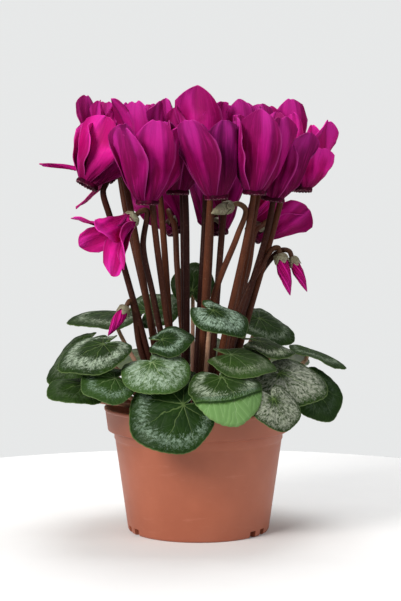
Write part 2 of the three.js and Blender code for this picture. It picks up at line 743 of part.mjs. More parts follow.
function leafStalk(leaf) {
  const frame = leafFrame(leaf);
  const under = (depth) => frame.stalk.clone().addScaledVector(frame.axes.third, -depth);
  const reach = new THREE.Vector2(frame.stalk.x - TUBER.x, frame.stalk.y - TUBER.y);
  const length = reach.length();
  reach.normalize();
  const foot = Math.min(TUBER.radius * 0.8, length * 0.6);
  const start = new THREE.Vector3(TUBER.x + reach.x * foot, TUBER.y + reach.y * foot, tuberTop(foot) - 3);
  const rise = start.clone().lerp(under(9), 0.35);
  rise.z += leaf.stalkLift ?? 4;
  const end = under(LEAF_THICKNESS / 2 + STALK_CLEARANCE);
  const curve = new THREE.CatmullRomCurve3([start, rise, under(8), end]);
  const points = [0, 0.33, 0.67, 1].map((t) => curve.getPoint(t));
  const radii = [1.2, 1.1, 1.05, 1].map((part) => part * STALK_RADIUS);
  return toSolid(taperedTube(points, radii, STALK_SIDES));
}

function makeCrown(frames) {
  const parts = [toSolid(turned(tuberProfile(0), TUBER_SIDES).translate(TUBER.x, TUBER.y, 0))];
  frames.forEach((frame) => parts.push(bloomStem(frame)));
  parts.push(noddingStem());
  BUDS.forEach((bud) => parts.push(budStem(bud)));
  LEAVES.forEach((leaf) => parts.push(leafStalk(leaf)));
  return toGeometry(join(parts));
}

// The leaf blades

function leafFrame(leaf) {
  const stalk = vector(leaf.stalk);
  const along = vector(leaf.tip).sub(stalk).normalize();
  const up = vector(leaf.up);
  const third = up.addScaledVector(along, -up.dot(along)).normalize();
  const second = third.clone().cross(along);
  return { stalk, axes: { first: along, second, third } };
}

// The heart-shaped outline: its distance from the stalk for an angle from the tip
function leafOutline(angle, cleft) {
  const fromCleft = Math.PI - Math.abs(angle);
  const heart = 0.52 + 0.16 * Math.cos(angle) + 0.04 * Math.exp(-((angle / 0.25) ** 2));
  return heart * (1 - 0.86 * Math.exp(-((fromCleft / cleft) ** 2)));
}

// A point of the blade's middle surface: angle from the tip, ring from the stalk, 0, to
// the edge, 1. The blade is rolled along its length and across it, and waved at the edge, and
// it hangs down past its fold.
function leafPoint(leaf, frame, angle, ring) {
  const radius = leafOutline(angle, leaf.cleft ?? CLEFT_WIDTH) * leaf.size * ring;
  const along = radius * Math.cos(angle);
  const across = radius * Math.sin(angle);
  const archAcross = radians(LEAF_ROLL_ACROSS) / leaf.size;
  const archAlong = radians(LEAF_ROLL_ALONG) / leaf.size;
  const pastFold = Math.max(along - leaf.size * (leaf.fold ?? 1), 0);
  const ripple = LEAF_WAVE * ring * ring * Math.sin(angle * 4 + leaf.size);
  const bentAcross = Math.sin(archAcross * across) / archAcross;
  const drop = (Math.cos(archAcross * across) - 1) / archAcross + ripple;
  const turn = archAlong * along;
  const bentAlong = Math.sin(turn) * (1 / archAlong + drop);
  const height = Math.cos(turn) * (1 / archAlong + drop) - 1 / archAlong;
  return frame.stalk.clone()
    .addScaledVector(frame.axes.first, bentAlong - pastFold * FOLD_PULL)
    .addScaledVector(frame.axes.second, bentAcross)
    .addScaledVector(frame.axes.third, height - pastFold * FOLD_DROP);
}

// A leaf's rings, as parts of the way from its stalk to its edge
const LEAF_RINGS = [0.55, 1];

// A small step in angle or ring, between whose ends a blade's slope is measured
const SLOPE_STEP = 0.02;

function leafNormal(leaf, frame, angle, ring) {
  const outer = leafPoint(leaf, frame, angle, ring + SLOPE_STEP);
  const inner = leafPoint(leaf, frame, angle, ring - SLOPE_STEP);
  const left = leafPoint(leaf, frame, angle + SLOPE_STEP, ring);
  const right = leafPoint(leaf, frame, angle - SLOPE_STEP, ring);
  return outer.sub(inner).cross(left.sub(right)).normalize();
}

function makeLeaf(leaf) {
  const frame = leafFrame(leaf);
  const positions = [];
  const triangles = [];
  for (const face of [1, -1]) {
    const lift = frame.axes.third.clone().multiplyScalar(face * LEAF_THICKNESS / 2);
    const centre = leafPoint(leaf, frame, 0, 0).add(lift);
    positions.push(centre.x, centre.y, centre.z);
    for (const ring of LEAF_RINGS) {
      for (let sector = 0; sector < LEAF_SECTORS; sector += 1) {
        const angle = -Math.PI + TURN * sector / LEAF_SECTORS;
        const here = leafPoint(leaf, frame, angle, ring);
        const normal = leafNormal(leaf, frame, angle, ring);
        here.addScaledVector(normal, face * LEAF_THICKNESS / 2);
        positions.push(here.x, here.y, here.z);
      }
    }
  }
  const perFace = 1 + LEAF_RINGS.length * LEAF_SECTORS;
  const faceTriangles = [];
  for (let sector = 0; sector < LEAF_SECTORS; sector += 1) {
    const next = (sector + 1) % LEAF_SECTORS;
    const a = 1 + sector;
    const b = 1 + next;
    const c = a + LEAF_SECTORS;
    const d = b + LEAF_SECTORS;
    faceTriangles.push([0, a, b], [a, c, d], [a, d, b]);
    triangles.push(c, c + perFace, d + perFace, c, d + perFace, d);
  }
  for (const [a, b, c] of faceTriangles) {
    triangles.push(a, b, c, a + perFace, c + perFace, b + perFace);
  }
  return makeGeometry(positions, triangles);
}

// The assembled object

const plant = new THREE.Group();

function addPiece(name, geometry, kind) {
  const { color, roughness } = COLOURS[kind];
  const material = new THREE.MeshStandardMaterial({ color, roughness, metalness: 0 });
  const piece = new THREE.Mesh(geometry, material);
  piece.name = name;
  plant.add(piece);
}

const twoDigits = (number) => String(number).padStart(2, '0');
const frames = BLOOMS.map(bloomFrame);

addPiece('pot', makePot(), 'pot');
addPiece('soil', makeSoil(), 'soil');
addPiece('crown', makeCrown(frames), 'crown');
BLOOMS.forEach((bloom, index) => {
  addPiece(`bloom_${twoDigits(index + 1)}`, makeBloom(bloom, index, frames), 'bloom');
});
addPiece(`bloom_${twoDigits(BLOOMS.length + 1)}`, makeNoddingBloom(), 'bloom');
BUDS.forEach((bud, index) => addPiece(`bud_${twoDigits(index + 1)}`, makeBud(bud), 'bud'));
LEAVES.forEach((leaf, index) => addPiece(`leaf_${twoDigits(index + 1)}`, makeLeaf(leaf), 'leaf'));

export default plant;
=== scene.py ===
"""A cyclamen in full bloom, in a round plastic pot of soil. Shapes are worked out in millimetres,
from driving dimensions whose angles are in degrees."""
import math
from collections import namedtuple

import bpy
import numpy as np
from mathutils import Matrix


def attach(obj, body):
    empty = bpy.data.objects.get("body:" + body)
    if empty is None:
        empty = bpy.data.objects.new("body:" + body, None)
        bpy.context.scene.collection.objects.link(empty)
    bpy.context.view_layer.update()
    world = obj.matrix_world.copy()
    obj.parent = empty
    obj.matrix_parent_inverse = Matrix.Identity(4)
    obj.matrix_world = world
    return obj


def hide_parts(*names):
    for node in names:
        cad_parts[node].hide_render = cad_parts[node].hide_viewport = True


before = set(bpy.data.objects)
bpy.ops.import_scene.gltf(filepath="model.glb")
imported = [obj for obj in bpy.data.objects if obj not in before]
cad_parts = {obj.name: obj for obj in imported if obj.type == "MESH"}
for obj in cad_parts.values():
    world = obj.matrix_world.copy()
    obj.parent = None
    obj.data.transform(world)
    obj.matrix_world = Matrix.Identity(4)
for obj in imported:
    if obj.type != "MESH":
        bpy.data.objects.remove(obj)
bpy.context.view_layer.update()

MM = 0.001
TURN = 2 * math.pi
UP = np.array([0.0, 0.0, 1.0])
FORWARDS = (0, -1, 0.3)

# The clearance between neighbouring pieces
GAP = 0.3

# Driving dimensions of the pot
POT_RADIUS = 60
POT_HEIGHT = 79
WALL = 1.5
RIM_BAND = 15
RIM_SLOPE = 2
BAND_OVERHANG = 4.6
FOOT_RADIUS = 45
FOOT_HEIGHT = 3
FOOT_WIDTH = 5.5
CENTRE_FOOT_RADIUS = 13
NOTCH_WIDTH = 5
NOTCH_HEIGHT = 4.2
NOTCH_GROUPS = (55, 175, 295)
NOTCH_OFFSET = 6.5
DRAIN_RADIUS = 3.2
DRAIN_RING = 28
DRAIN_COUNT = 6
CUT_PAST = 3
SHARP_ANGLE = 38

# Driving dimensions of the soil and of the tuber that is half sunk in it
SOIL_BELOW_RIM = 9
SOIL_RIPPLE = 1.1
SOIL_SUNK = 0.4
CRUMBS = 420
CRUMBS_FROM = 30
CRUMB_SMALLEST = 0.5
CRUMB_SPREAD = 1.3
CRUMB_SUNK = 0.3
CRUMB_FLATNESS = 0.75
TUBER_X = -4
TUBER_RADIUS = 30
TUBER_TOP = 78
TUBER_BOTTOM = 48
TUBER_ROUNDNESS = 0.7

# Driving dimensions of the flowers and their stems
MOUTH_RADIUS = 7
TUBE_HEIGHT = 7.5
CORNERS = 5
PETAL_THICKNESS = 0.7
PETAL_EDGE = 0.35
PETAL_ROOT_HALF = 3.4
PETAL_START = 42
NEIGHBOUR_MARGIN = 0.9
NEIGHBOUR_REACH = 70
NEIGHBOUR_SOFTNESS = 1.7
NEIGHBOUR_ROUNDS = 3
TIP_ARCH = 0.3
TIP_CURL = 1.7
TIP_POWER = 0.45
STEM_FOOT_RADIUS = 2.35
STEM_TOP_RADIUS = 1.5
STEM_TAPER = 0.7
STEM_SUNK = 4
STEM_FOOT_SHARE = 0.34
STEM_FOOT_LIMIT = 0.76
STEM_BESIDE = 4
STEM_LEAN = 0.13
STEM_LEAN_DROP = 22
STEM_RIBS = 0.03
STEM_END = 0.3
STEM_SPLAY = 1.04
STEM_RISE = 10
STEM_UNEVENNESS = 0.025
HOOK_HEIGHT = 12.5
CALYX_RADIUS = 4.6
CALYX_DOME = 2.6
SEPAL_THICKNESS = 0.45

# Driving dimensions of the leaves
LEAF_THICKNESS = 0.8
LEAF_EDGE = 0.38
STALK_RADIUS = 1.25
STALK_SUNK = 3
LEAF_ROLL_ACROSS = 40
LEAF_ROLL_ALONG = 35
LEAF_WAVE = 1.2
VEIN_RAYS = 9
FOLD_DROP = 0.9
FOLD_PULL = 0.35
FOLD_CURVE = 0.6
FOLD_SOFTNESS = 0.13

# How finely the surfaces are divided
POT_SIDES = 160
DRAIN_SIDES = 20
SOIL_RINGS = 56
SOIL_SIDES = 180
CRUMB_ROWS = 6
CRUMB_SIDES = 8
TUBER_ROWS = 40
TUBER_SIDES = 96
PETAL_ROWS = 40
PETAL_COLUMNS = 21
PROFILE_STEPS = 24
MOUTH_SIDES = 60
NODDING_SIDES = 40
STYLE_SIDES = 10
BUD_ROWS = 48
BUD_SIDES = 50
STEM_SIDES = 14
STEM_STEPS = 14
STALK_SIDES = 10
STALK_STEPS = 16
SEPAL_ROWS = 14
LEAF_SECTORS = 132
LEAF_RINGS = 18

# Open flowers: the middle of the mouth ring, the middle of the tips and a petal's width. tone
# is 0 for a purple flower and 1 for a bright pink one. spread is how far the petals lean out,
# parting is the angle from the stem to the petals beside it, and stem_side is the direction
# from the mouth to the stem, where it isn't the tuber's. petals holds what differs in one petal.
Flower = namedtuple("Flower", "mouth tips width tone spread parting stem_side petals",
                    defaults=(5, 52, None, {}))
FLOWERS = (
    Flower((-69, -24, 219), (-51, -18, 253), 26, 0.86, parting=62, petals={
        3: dict(turn=-12, half=16, length=1.12, cup=0.3, twist=4, spread=8, tone=0.1),
        4: dict(turn=0, half=13.5, length=0.9, cup=0.5, spread=14, tone=-0.7)}),
    Flower((-60, 8, 232), (-55, 10, 275), 22, 0.42),
    Flower((-54, 40, 226), (-78, 44, 248), 20, 0.9, petals={
        3: dict(turn=26, length=0.95, half=9.5, start=88, spread=86, flare=0),
        4: dict(turn=-13, length=1.55, half=8, spread=47, flare=0, twist=57, claw=0.9)}),
    Flower((-31, -46, 208), (-31, -49, 258), 28, 0.3, stem_side=(0.25, 1, 0), petals={
        0: dict(turn=26),
        1: dict(turn=31, half=14.5, notch=0.16, twist=4, spread=8, tone=0),
        2: dict(turn=33, half=12.5, length=1.04, twist=24, tone=0.15),
        3: dict(turn=24, spread=13, twist=50, flare=14, claw=1.3, tone=0.35),
        4: dict(turn=10)}),
    Flower((-13, -20, 214), (-12, -19, 260), 26, 0.22),
    Flower((11, -48, 211), (8, -50, 260), 28, 0.2, petals={
        1: dict(turn=9, spread=16, half=15, length=1.07, flare=6, twist=4, tone=0.08),
        2: dict(turn=6, half=13, spread=4, twist=8, tone=-0.2),
        3: dict(turn=4)}),
    Flower((34, -44, 214), (36, -47, 264), 27, 0.33, stem_side=(0, 1, 0), petals={
        2: dict(half=13.5, length=1.04, notch=-0.03, spread=3, twist=12, flare=0)}),
    Flower((46, -18, 210), (53, -20, 254), 27, 0.3, stem_side=(0.1, 1, 0)),
    Flower((65, -2, 216), (67, 2, 262), 22, 0.8, spread=1, petals={
        1: dict(turn=16, length=0.62, half=12, start=60, spread=13, flare=6, twist=10, tone=0.3),
        2: dict(length=1.02, spread=4, flare=2, half=12.5, twist=38)}),
    Flower((36, 56, 186), (66, 62, 212), 31, 0.6, parting=60),
    Flower((13, 48, 188), (10, 56, 230), 27, 0.2),
    Flower((-14, 52, 189), (-30, 60, 226), 26, 0.3),
    Flower((3, 8, 230), (1, 6, 283), 28, 0.5, spread=2, stem_side=(0.2, 1, 0), petals={
        0: dict(turn=6, length=0.8),
        1: dict(length=0.84),
        2: dict(length=1, half=15.5, spread=0, flare=0, twist=8, notch=0, cup=0.5, tone=0),
        3: dict(length=0.82, wave=-0.9),
        4: dict(turn=-6, length=0.8)}),
    Flower((-37, -8, 228), (-38, -6, 273), 26, 0.36),
    Flower((-16, 32, 232), (-14, 38, 274), 26, 0.26),
    Flower((30, 13, 231), (30, 15, 274), 26, 0.26),
    Flower((52, 28, 228), (48, 30, 273), 22, 0.42, spread=2),
)

# The half-open flower, which nods: its petals point on from the calyx.
NODDING = Flower((-40, -38, 199), (-62, -50, 181), 18, 0.9)

# Buds. calyx is where the stem ends, tip is the closed point, foot and via are the stem's points.
Bud = namedtuple("Bud", "calyx tip radius foot via green", defaults=(False,))
BUDS = (
    Bud((52, -2, 174), (58, -4, 150), 4.2, (17, -7), ((26, -6, 141), (40, -4, 169), (47, -2, 179))),
    Bud((60, 2, 172), (69, 2, 152), 3.4, (18, -1), ((29, 2, 141), (44, 3, 170), (53, 3, 178))),
    Bud((-46, -18, 142), (-56, -24, 126), 3.6, (-26, -10), ((-37, -12, 118), (-41, -14, 144))),
    Bud((19, -36, 206), (8, -43, 202), 3.6, (4, -14), ((9, -20, 147), (24, -30, 188), (29, -31, 204)), True),
)

# Leaf blades: where the stalk meets the blade, the tip, the way the upper face looks, the
# blade's length, how silvery it is from 0 to 1 and how fresh a green. cleft is the width of its
# cleft in radians, fold where it folds down as a part of its length, lift how far its stalk bows.
Leaf = namedtuple("Leaf", "stalk tip up size silver fresh cleft fold lift", defaults=(0.1, 0.3, 1, 4))
LEAVES = (
    Leaf((-53, 27, 136), (-85, 30, 138), (0, -0.14, 1), 48, 0.35),
    Leaf((-73, -5, 118), (-97, -16, 98), (-0.5, -0.4, 0.75), 46, 0.2),
    Leaf((-58, -42, 122), (-85, -58, 112), (-0.1, -0.32, 0.94), 45, 0.56),
    Leaf((-68, -46, 98), (-90, -58, 97), (0, -0.35, 0.93), 36, 0.15, fresh=0.18),
    Leaf((-50, -58, 103), (-68, -72, 99), (-0.1, -0.7, 0.7), 32, 0.35, fresh=0.3),
    Leaf((-28, -54, 112), (-16, -76, 101), (0, -0.5, 0.85), 40, 0.88, fresh=0.48, cleft=0.5),
    Leaf((-22, -42, 125), (-4, -44, 129), (0, -0.5, 0.85), 28, 0.45),
    Leaf((-9, -70, 88.5), (-41, -80, 75.5), (0.1, -0.8, 0.6), 50, 0.33),
    Leaf((20, -45, 116), (46, -51, 113), (-0.1, -0.25, 0.95), 41, 0.3, fresh=0.3),
    Leaf((14, -64, 104), (24, -86, 96), (0, -0.35, 0.93), 43, 0.5, fresh=0.2, fold=0.36),
    Leaf((9, -46, 143), (29, -56, 134), (0.05, -0.3, 0.95), 36, 0.76),
    Leaf((40, 34, 132), (62, 27, 122), (0.1, -0.35, 0.93), 38, 0.3),
    Leaf((38, -21, 122), (60, -19, 119), (0, -0.2, 1), 34, 0.4),
    Leaf((71, 14, 114), (96, 10, 107), (0.2, 0, 1), 38, 0.3),
    Leaf((50, -32, 103), (78, -44, 96), (0.15, -0.5, 0.84), 45, 1.0),
    Leaf((73, -2, 92), (88, -8, 74), (0.3, -0.7, 0.6), 36, 0.15),
    Leaf((45, -63, 91), (53, -73, 78), (0.35, -0.8, 0.5), 30, 0.97, lift=8),
    Leaf((-10, -44, 101), (-8, -56, 94), (0, -0.7, 0.7), 24, 0.3),
    Leaf((-34, 50, 136), (-18, 58, 148), (0, -0.5, 0.85), 34, 0.3),
    Leaf((-4, 48, 150), (-3, 52, 169), (0, -0.85, 0.5), 28, 0.2),
    Leaf((48, 50, 112), (68, 68, 104), (0.2, 0.3, 0.9), 44, 0.5),
    Leaf((6, 64, 112), (12, 88, 100), (0, 0.4, 0.9), 44, 0.7),
    Leaf((-38, 60, 108), (-52, 80, 98), (-0.2, 0.35, 0.9), 44, 0.5),
    Leaf((-66, 26, 104), (-88, 36, 94), (-0.3, 0.2, 0.93), 40, 0.6),
    Leaf((68, 34, 98), (90, 42, 86), (0.3, 0.1, 0.93), 40, 0.5),
    Leaf((-14, 66, 94), (-20, 86, 80), (0, 0.5, 0.85), 36, 0.4),
    Leaf((30, 64, 92), (40, 84, 80), (0.1, 0.5, 0.85), 36, 0.6),
)


# Small sums

def chance(seed):
    """A repeatable number from 0 to 1 for a whole number or an array: the fraction of a large sine."""
    wave = np.sin(np.asarray(seed) * 12.9898 + 4.1) * 43758.5453
    return wave - np.floor(wave)


def ease(low, high, value):
    """The cubic step from 0 at low to 1 at high."""
    t = np.clip((value - low) / (high - low), 0, 1)
    return t * t * (3 - 2 * t)


def unit(vectors):
    """The vectors, each divided by its own length."""
    vectors = np.asarray(vectors, dtype=float)
    return vectors / np.maximum(np.linalg.norm(vectors, axis=-1, keepdims=True), 1e-9)


def full_turn(sides):
    """Equal angles once round."""
    return np.linspace(0, TURN, sides, endpoint=False)


def round_axis(radius, angle, height):
    """Points about +Z, by their radii, angles and heights."""
    return np.stack(np.broadcast_arrays(radius * np.cos(angle), radius * np.sin(angle), height), axis=-1)


def turn_about_z(angle):
    """The matrix that turns rows of points about +Z."""
    cos, sin = math.cos(angle), math.sin(angle)
    return np.array([[cos, sin, 0], [-sin, cos, 0], [0, 0, 1]])


def axes_along(direction, hint):
    """Three square axes: the third along the direction, the first as near as it can be to the hint."""
    third = unit(direction)
    hint = np.asarray(hint, dtype=float)
    first = unit(hint - third * (hint @ third))
    return first, np.cross(third, first), third


Frame = namedtuple("Frame", "start length axes")


def frame_of(start, end, hint):
    """A flower's or a bud's own axes: the third from its start to its end."""
    start = np.array(start, dtype=float)
    axis = np.array(end) - start
    return Frame(start, float(np.linalg.norm(axis)), axes_along(axis, hint))


def placed(parts, own):
    """Points drawn about +Z, set at the start of a frame and along its axes."""
    return [own.start + np.asarray(part) @ np.stack(own.axes) for part in parts]


def ripples(x, y, seed, count, low, high):
    """A sum of count sine waves over the plane, with turned directions and growing frequencies."""
    total = np.zeros(np.broadcast(x, y).shape)
    for index in range(count):
        heading = TURN * chance(seed + index * 3)
        pace = low * (high / low) ** (index / max(count - 1, 1))
        shift = TURN * chance(seed + index * 3 + 1)
        total += np.sin((x * math.cos(heading) + y * math.sin(heading)) * pace + shift) / (1 + index * 0.35)
    return total / math.sqrt(count)


def smooth_path(knots, steps):
    """A centripetal Catmull-Rom curve through the knots: each span is the cubic whose end slopes
    come from its neighbours, weighed by the square roots of the distances."""
    knots = np.asarray(knots, dtype=float)
    ends = np.vstack([2 * knots[0] - knots[1], knots, 2 * knots[-1] - knots[-2]])
    spots = []
    for index in range(len(knots) - 1):
        p0, p1, p2, p3 = ends[index:index + 4]
        a, b, c = (np.linalg.norm(q - p) ** 0.5 for p, q in ((p0, p1), (p1, p2), (p2, p3)))
        leave = ((p1 - p0) / a - (p2 - p0) / (a + b) + (p2 - p1) / b) * b
        arrive = ((p2 - p1) / b - (p3 - p1) / (b + c) + (p3 - p2) / c) * b
        t = np.linspace(0, 1, steps, endpoint=False)[:, None]
        spots.append(p1 * (2 * t ** 3 - 3 * t ** 2 + 1) + leave * (t ** 3 - 2 * t ** 2 + t)
                     + p2 * (3 * t ** 2 - 2 * t ** 3) + arrive * (t ** 3 - t ** 2))
    return np.vstack(spots + [knots[-1:]])


# Sheets: arrays of points and faces, with named values on the points, and the pieces made of them

def grid_faces(rows, columns, joined=False):
    """The four corners of each face of a grid; joined closes the last column onto the first."""
    row, column = np.meshgrid(np.arange(rows - 1), np.arange(columns - (not joined)), indexing="ij")
    beside = (column + 1) % columns
    corners = (row * columns + column, row * columns + beside,
               (row + 1) * columns + beside, (row + 1) * columns + column)
    return np.stack(corners, axis=-1).reshape(-1, 4)


def sheet(points, faces, fans=(), material=0, **marks):
    """One closed surface: its points, four-sided faces, three-sided faces and named values."""
    points = np.asarray(points).reshape(-1, 3)
    count = len(points)
    values = {name: np.broadcast_to(np.asarray(value, dtype=float).ravel(), (count,))
              for name, value in marks.items()}
    fans = np.asarray(fans, dtype=int).reshape(-1, 3)
    return {"points": points, "faces": faces, "fans": fans, "material": material, "marks": values}


def ringed(rings, low, high, material=0, **marks):
    """A closed surface of rings that end in a point at each end. rings is rows by sides."""
    rows, sides = rings.shape[:2]
    points = np.vstack([rings.reshape(-1, 3), [low], [high]])
    side = np.arange(sides)
    after = (side + 1) % sides
    last = (rows - 1) * sides
    start = np.stack([np.full(sides, rows * sides), after, side], axis=1)
    end = np.stack([np.full(sides, rows * sides + 1), last + side, last + after], axis=1)
    spread = {}
    for name, value in marks.items():
        table = np.broadcast_to(np.asarray(value, dtype=float), (rows, sides))
        spread[name] = np.concatenate([table.ravel(), [table[0].mean(), table[-1].mean()]])
    return sheet(points, grid_faces(rows, sides, True), np.vstack([start, end]), material, **spread)


def turned(profile, sides, scallop=None):
    """A profile of radius and height pairs carried round +Z, from the axis out and back to it.
    scallop gives a factor for the radius at each angle."""
    profile = np.asarray(profile, dtype=float)
    angle = full_turn(sides)
    factor = 1 if scallop is None else scallop(angle)
    rings = round_axis(profile[1:-1, 0][:, None] * factor, angle, profile[1:-1, 1][:, None])
    return rings, np.array([0, 0, profile[0, 1]]), np.array([0, 0, profile[-1, 1]])


def surface_normals(points):
    """The unit cross product of the differences across and along a grid."""
    along = np.gradient(points, axis=0)
    across = np.gradient(points, axis=1)
    return unit(np.cross(across, along))


def blade(middle, thickness, **marks):
    """A closed blade about a grid: both faces stand off the middle by half the thickness, which
    thins to a third at the border, and a row of faces closes the border."""
    rows, columns = middle.shape[:2]
    row = np.minimum(np.arange(rows), np.arange(rows)[::-1])[:, None]
    column = np.minimum(np.arange(columns), np.arange(columns)[::-1])[None, :]
    inset = np.minimum(row, column)
    half = thickness / 2 * (PETAL_EDGE + (1 - PETAL_EDGE) * ease(0, 3, inset))[..., None]
    normal = surface_normals(middle)
    points = np.stack([middle + normal * half, middle - normal * half])
    front = grid_faces(rows, columns)
    back = rows * columns
    rim = np.concatenate([
        np.arange(columns - 1),
        np.arange(rows - 1) * columns + columns - 1,
        (rows - 1) * columns + np.arange(columns - 1, 0, -1),
        np.arange(rows - 1, 0, -1) * columns,
    ])
    onward = np.roll(rim, -1)
    border = np.stack([rim, rim + back, onward + back, onward], axis=1)
    faces = np.vstack([front, front[:, ::-1] + back, border])
    values = {name: np.stack([np.broadcast_to(value, inset.shape)] * 2) for name, value in marks.items()}
    values["face"] = np.stack([np.ones((rows, columns)), np.zeros((rows, columns))])
    return sheet(points, faces, **values)


def tube(path, radii, sides, **marks):
    """A closed tube with five low ribs: rings square to the path, each with its own radius, and a
    point at each end."""
    path = np.asarray(path, dtype=float)
    heading = unit(np.gradient(path, axis=0))
    normals = []
    normal = np.array([0.0, 1.0, 0.0])
    for direction in heading:
        normal = unit(normal - direction * (normal @ direction))
        normals.append(normal)
    normals = np.array(normals)
    sideways = np.cross(heading, normals)
    angle = full_turn(sides)
    radius = np.asarray(radii)[:, None] * (1 + STEM_RIBS * np.cos(CORNERS * angle))[None, :]
    cos, sin = np.cos(angle)[None, :, None], np.sin(angle)[None, :, None]
    rings = path[:, None, :] + radius[..., None] * (cos * normals[:, None, :] + sin * sideways[:, None, :])
    low = path[0] - heading[0] * radii[0] * STEM_END
    high = path[-1] + heading[-1] * radii[-1] * STEM_END
    marks = {name: np.asarray(value)[:, None] if np.ndim(value) else value for name, value in marks.items()}
    return ringed(rings, low, high, **marks)


def add_object(name, data, place=(0, 0, 0), turn=(0, 0, 0)):
    """An object in the scene."""
    thing = bpy.data.objects.new(name, data)
    thing.location = place
    thing.rotation_euler = turn
    bpy.context.scene.collection.objects.link(thing)
    return thing


def make_piece(name, sheets, materials, slot, *nodes):
    """One object made of closed sheets, in metres, which stands for the named CAD nodes."""
    mesh = bpy.data.meshes.new(name)
    starts = np.cumsum([0] + [len(part["points"]) for part in sheets[:-1]])
    points = np.vstack([part["points"] for part in sheets]) * MM
    quads = np.vstack([part["faces"] + start for part, start in zip(sheets, starts)])
    fans = np.vstack([part["fans"] + start for part, start in zip(sheets, starts)])
    sizes = np.concatenate([np.full(len(quads), 4), np.full(len(fans), 3)])
    corners = np.concatenate([quads.ravel(), fans.ravel()])
    kinds = np.concatenate([np.full(len(part["faces"]), part["material"]) for part in sheets]
                           + [np.full(len(part["fans"]), part["material"]) for part in sheets])
    mesh.vertices.add(len(points))
    mesh.vertices.foreach_set("co", points.astype(np.float32).ravel())
    mesh.loops.add(len(corners))
    mesh.loops.foreach_set("vertex_index", corners.astype(np.int32))
    mesh.polygons.add(len(sizes))
    mesh.polygons.foreach_set("loop_start", (np.cumsum(sizes) - sizes).astype(np.int32))
    mesh.polygons.foreach_set("material_index", kinds.astype(np.int32))
    mesh.polygons.foreach_set("use_smooth", np.ones(len(sizes), dtype=bool))
    for mark in sheets[0]["marks"]:
        values = np.concatenate([part["marks"][mark] for part in sheets])
        mesh.attributes.new(mark, "FLOAT", "POINT").data.foreach_set("value", values.astype(np.float32))
    mesh.update(calc_edges=True)
    for material in materials:
        mesh.materials.append(material)
    piece = add_object(name, mesh)
    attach(piece, "root")
    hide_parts(*nodes)
    return piece


# Shader nodes

class Value:
    """A node's output, which can be added, taken away, multiplied and raised to a power."""

    def __init__(self, tree, socket):
        self.tree = tree
        self.socket = socket

    def __add__(self, other):
        return self.tree.sum("ADD", self, other)

    def __sub__(self, other):
        return self.tree.sum("SUBTRACT", self, other)

    def __rsub__(self, other):
        return self.tree.sum("SUBTRACT", other, self)

    def __mul__(self, other):
        return self.tree.sum("MULTIPLY", self, other)

    def __pow__(self, other):
        return self.tree.sum("POWER", self, other)

    __radd__ = __add__
    __rmul__ = __mul__


class Tree:
    """A node tree with short calls for the nodes that the finishes use."""

    def __init__(self, tree, material=None):
        self.tree = tree
        self.material = material

    def add(self, kind, inputs=None, **settings):
        """One node; inputs holds a number, a colour or an output for each named or numbered input."""
        node = self.tree.nodes.new(kind)
        for name, value in settings.items():
            setattr(node, name, value)
        for name, value in (inputs or {}).items():
            self.join(value, node.inputs[name])
        return node

    def value(self, kind, inputs=None, port=0, **settings):
        """One output of a new node."""
        return Value(self, self.add(kind, inputs, **settings).outputs[port])

    def join(self, value, socket):
        """A link where the value is an output, and otherwise the socket's own value."""
        if isinstance(value, Value):
            self.tree.links.new(value.socket, socket)
        elif socket.type == "RGBA":
            socket.default_value = (*value, 1.0)
        else:
            socket.default_value = value

    def sum(self, operation, *values):
        """A Math node's value."""
        return self.value("ShaderNodeMath", dict(enumerate(values)), operation=operation)

    def step(self, value, low, high):
        """0 below low and 1 above high, with a smooth rise; low may be the greater."""
        given = {"Value": value, "From Min": low, "From Max": high}
        return self.value("ShaderNodeMapRange", given, interpolation_type="SMOOTHSTEP")

    def blend(self, factor, first, second):
        """Two colours mixed by a factor."""
        node = self.add("ShaderNodeMix", data_type="RGBA")
        for place, value in zip((0, 6, 7), (factor, first, second)):
            self.join(value, node.inputs[place])
        return Value(self, node.outputs[2])

    def layers(self, body, *coats):
        """A colour with other colours laid over it, each by its own mask."""
        for mask, colour in coats:
            body = self.blend(mask, body, colour)
        return body

    def noise(self, vector, scale, detail=3.0, roughness=0.55):
        """A Noise node's value."""
        given = {"Vector": vector, "Scale": scale, "Detail": detail, "Roughness": roughness}
        return self.value("ShaderNodeTexNoise", given)

    def marks(self, *names):
        """Named values of the surface."""
        return [self.value("ShaderNodeAttribute", port="Fac", attribute_name=name) for name in names]

    def place(self):
        """Object coordinates."""
        return self.value("ShaderNodeTexCoord", port="Object")

    def stretch(self, vector, rise):
        """A vector with its third part multiplied."""
        return self.value("ShaderNodeMapping", {"Vector": vector, "Scale": (1.0, 1.0, rise)})

    def vector(self, *values):
        """Three values as one vector."""
        return self.value("ShaderNodeCombineXYZ", dict(enumerate(values)))

    def use(self, group, **inputs):
        """The outputs of a node group, in order, with its inputs set."""
        node = self.add("ShaderNodeGroup", inputs, node_tree=group)
        return [Value(self, output) for output in node.outputs]

    def mottle(self, vector, scale, low, high):
        """The Mottle group's patches and grain."""
        return self.use(MOTTLE, Vector=vector, Scale=scale, Low=low, High=high)

    def relief(self, height, strength, distance, **under):
        """A Bump node's normal for a height, on top of the normal under it where one is given."""
        given = {"Height": height, "Strength": strength, "Distance": distance, **under}
        return self.value("ShaderNodeBump", given)


def new_group(name, inputs, outputs):
    """An empty node group: its sockets hold numbers, or vectors where they are named so."""
    group = bpy.data.node_groups.new(name, "ShaderNodeTree")
    for way, labels in (("INPUT", inputs), ("OUTPUT", outputs)):
        for label in labels:
            kind = "NodeSocketVector" if label in ("Vector", "Fan") else "NodeSocketFloat"
            group.interface.new_socket(name=label, in_out=way, socket_type=kind)
    tree = Tree(group)
    given = [Value(tree, socket) for socket in tree.add("NodeGroupInput").outputs][:len(inputs)]
    return group, tree, given, tree.add("NodeGroupOutput").inputs


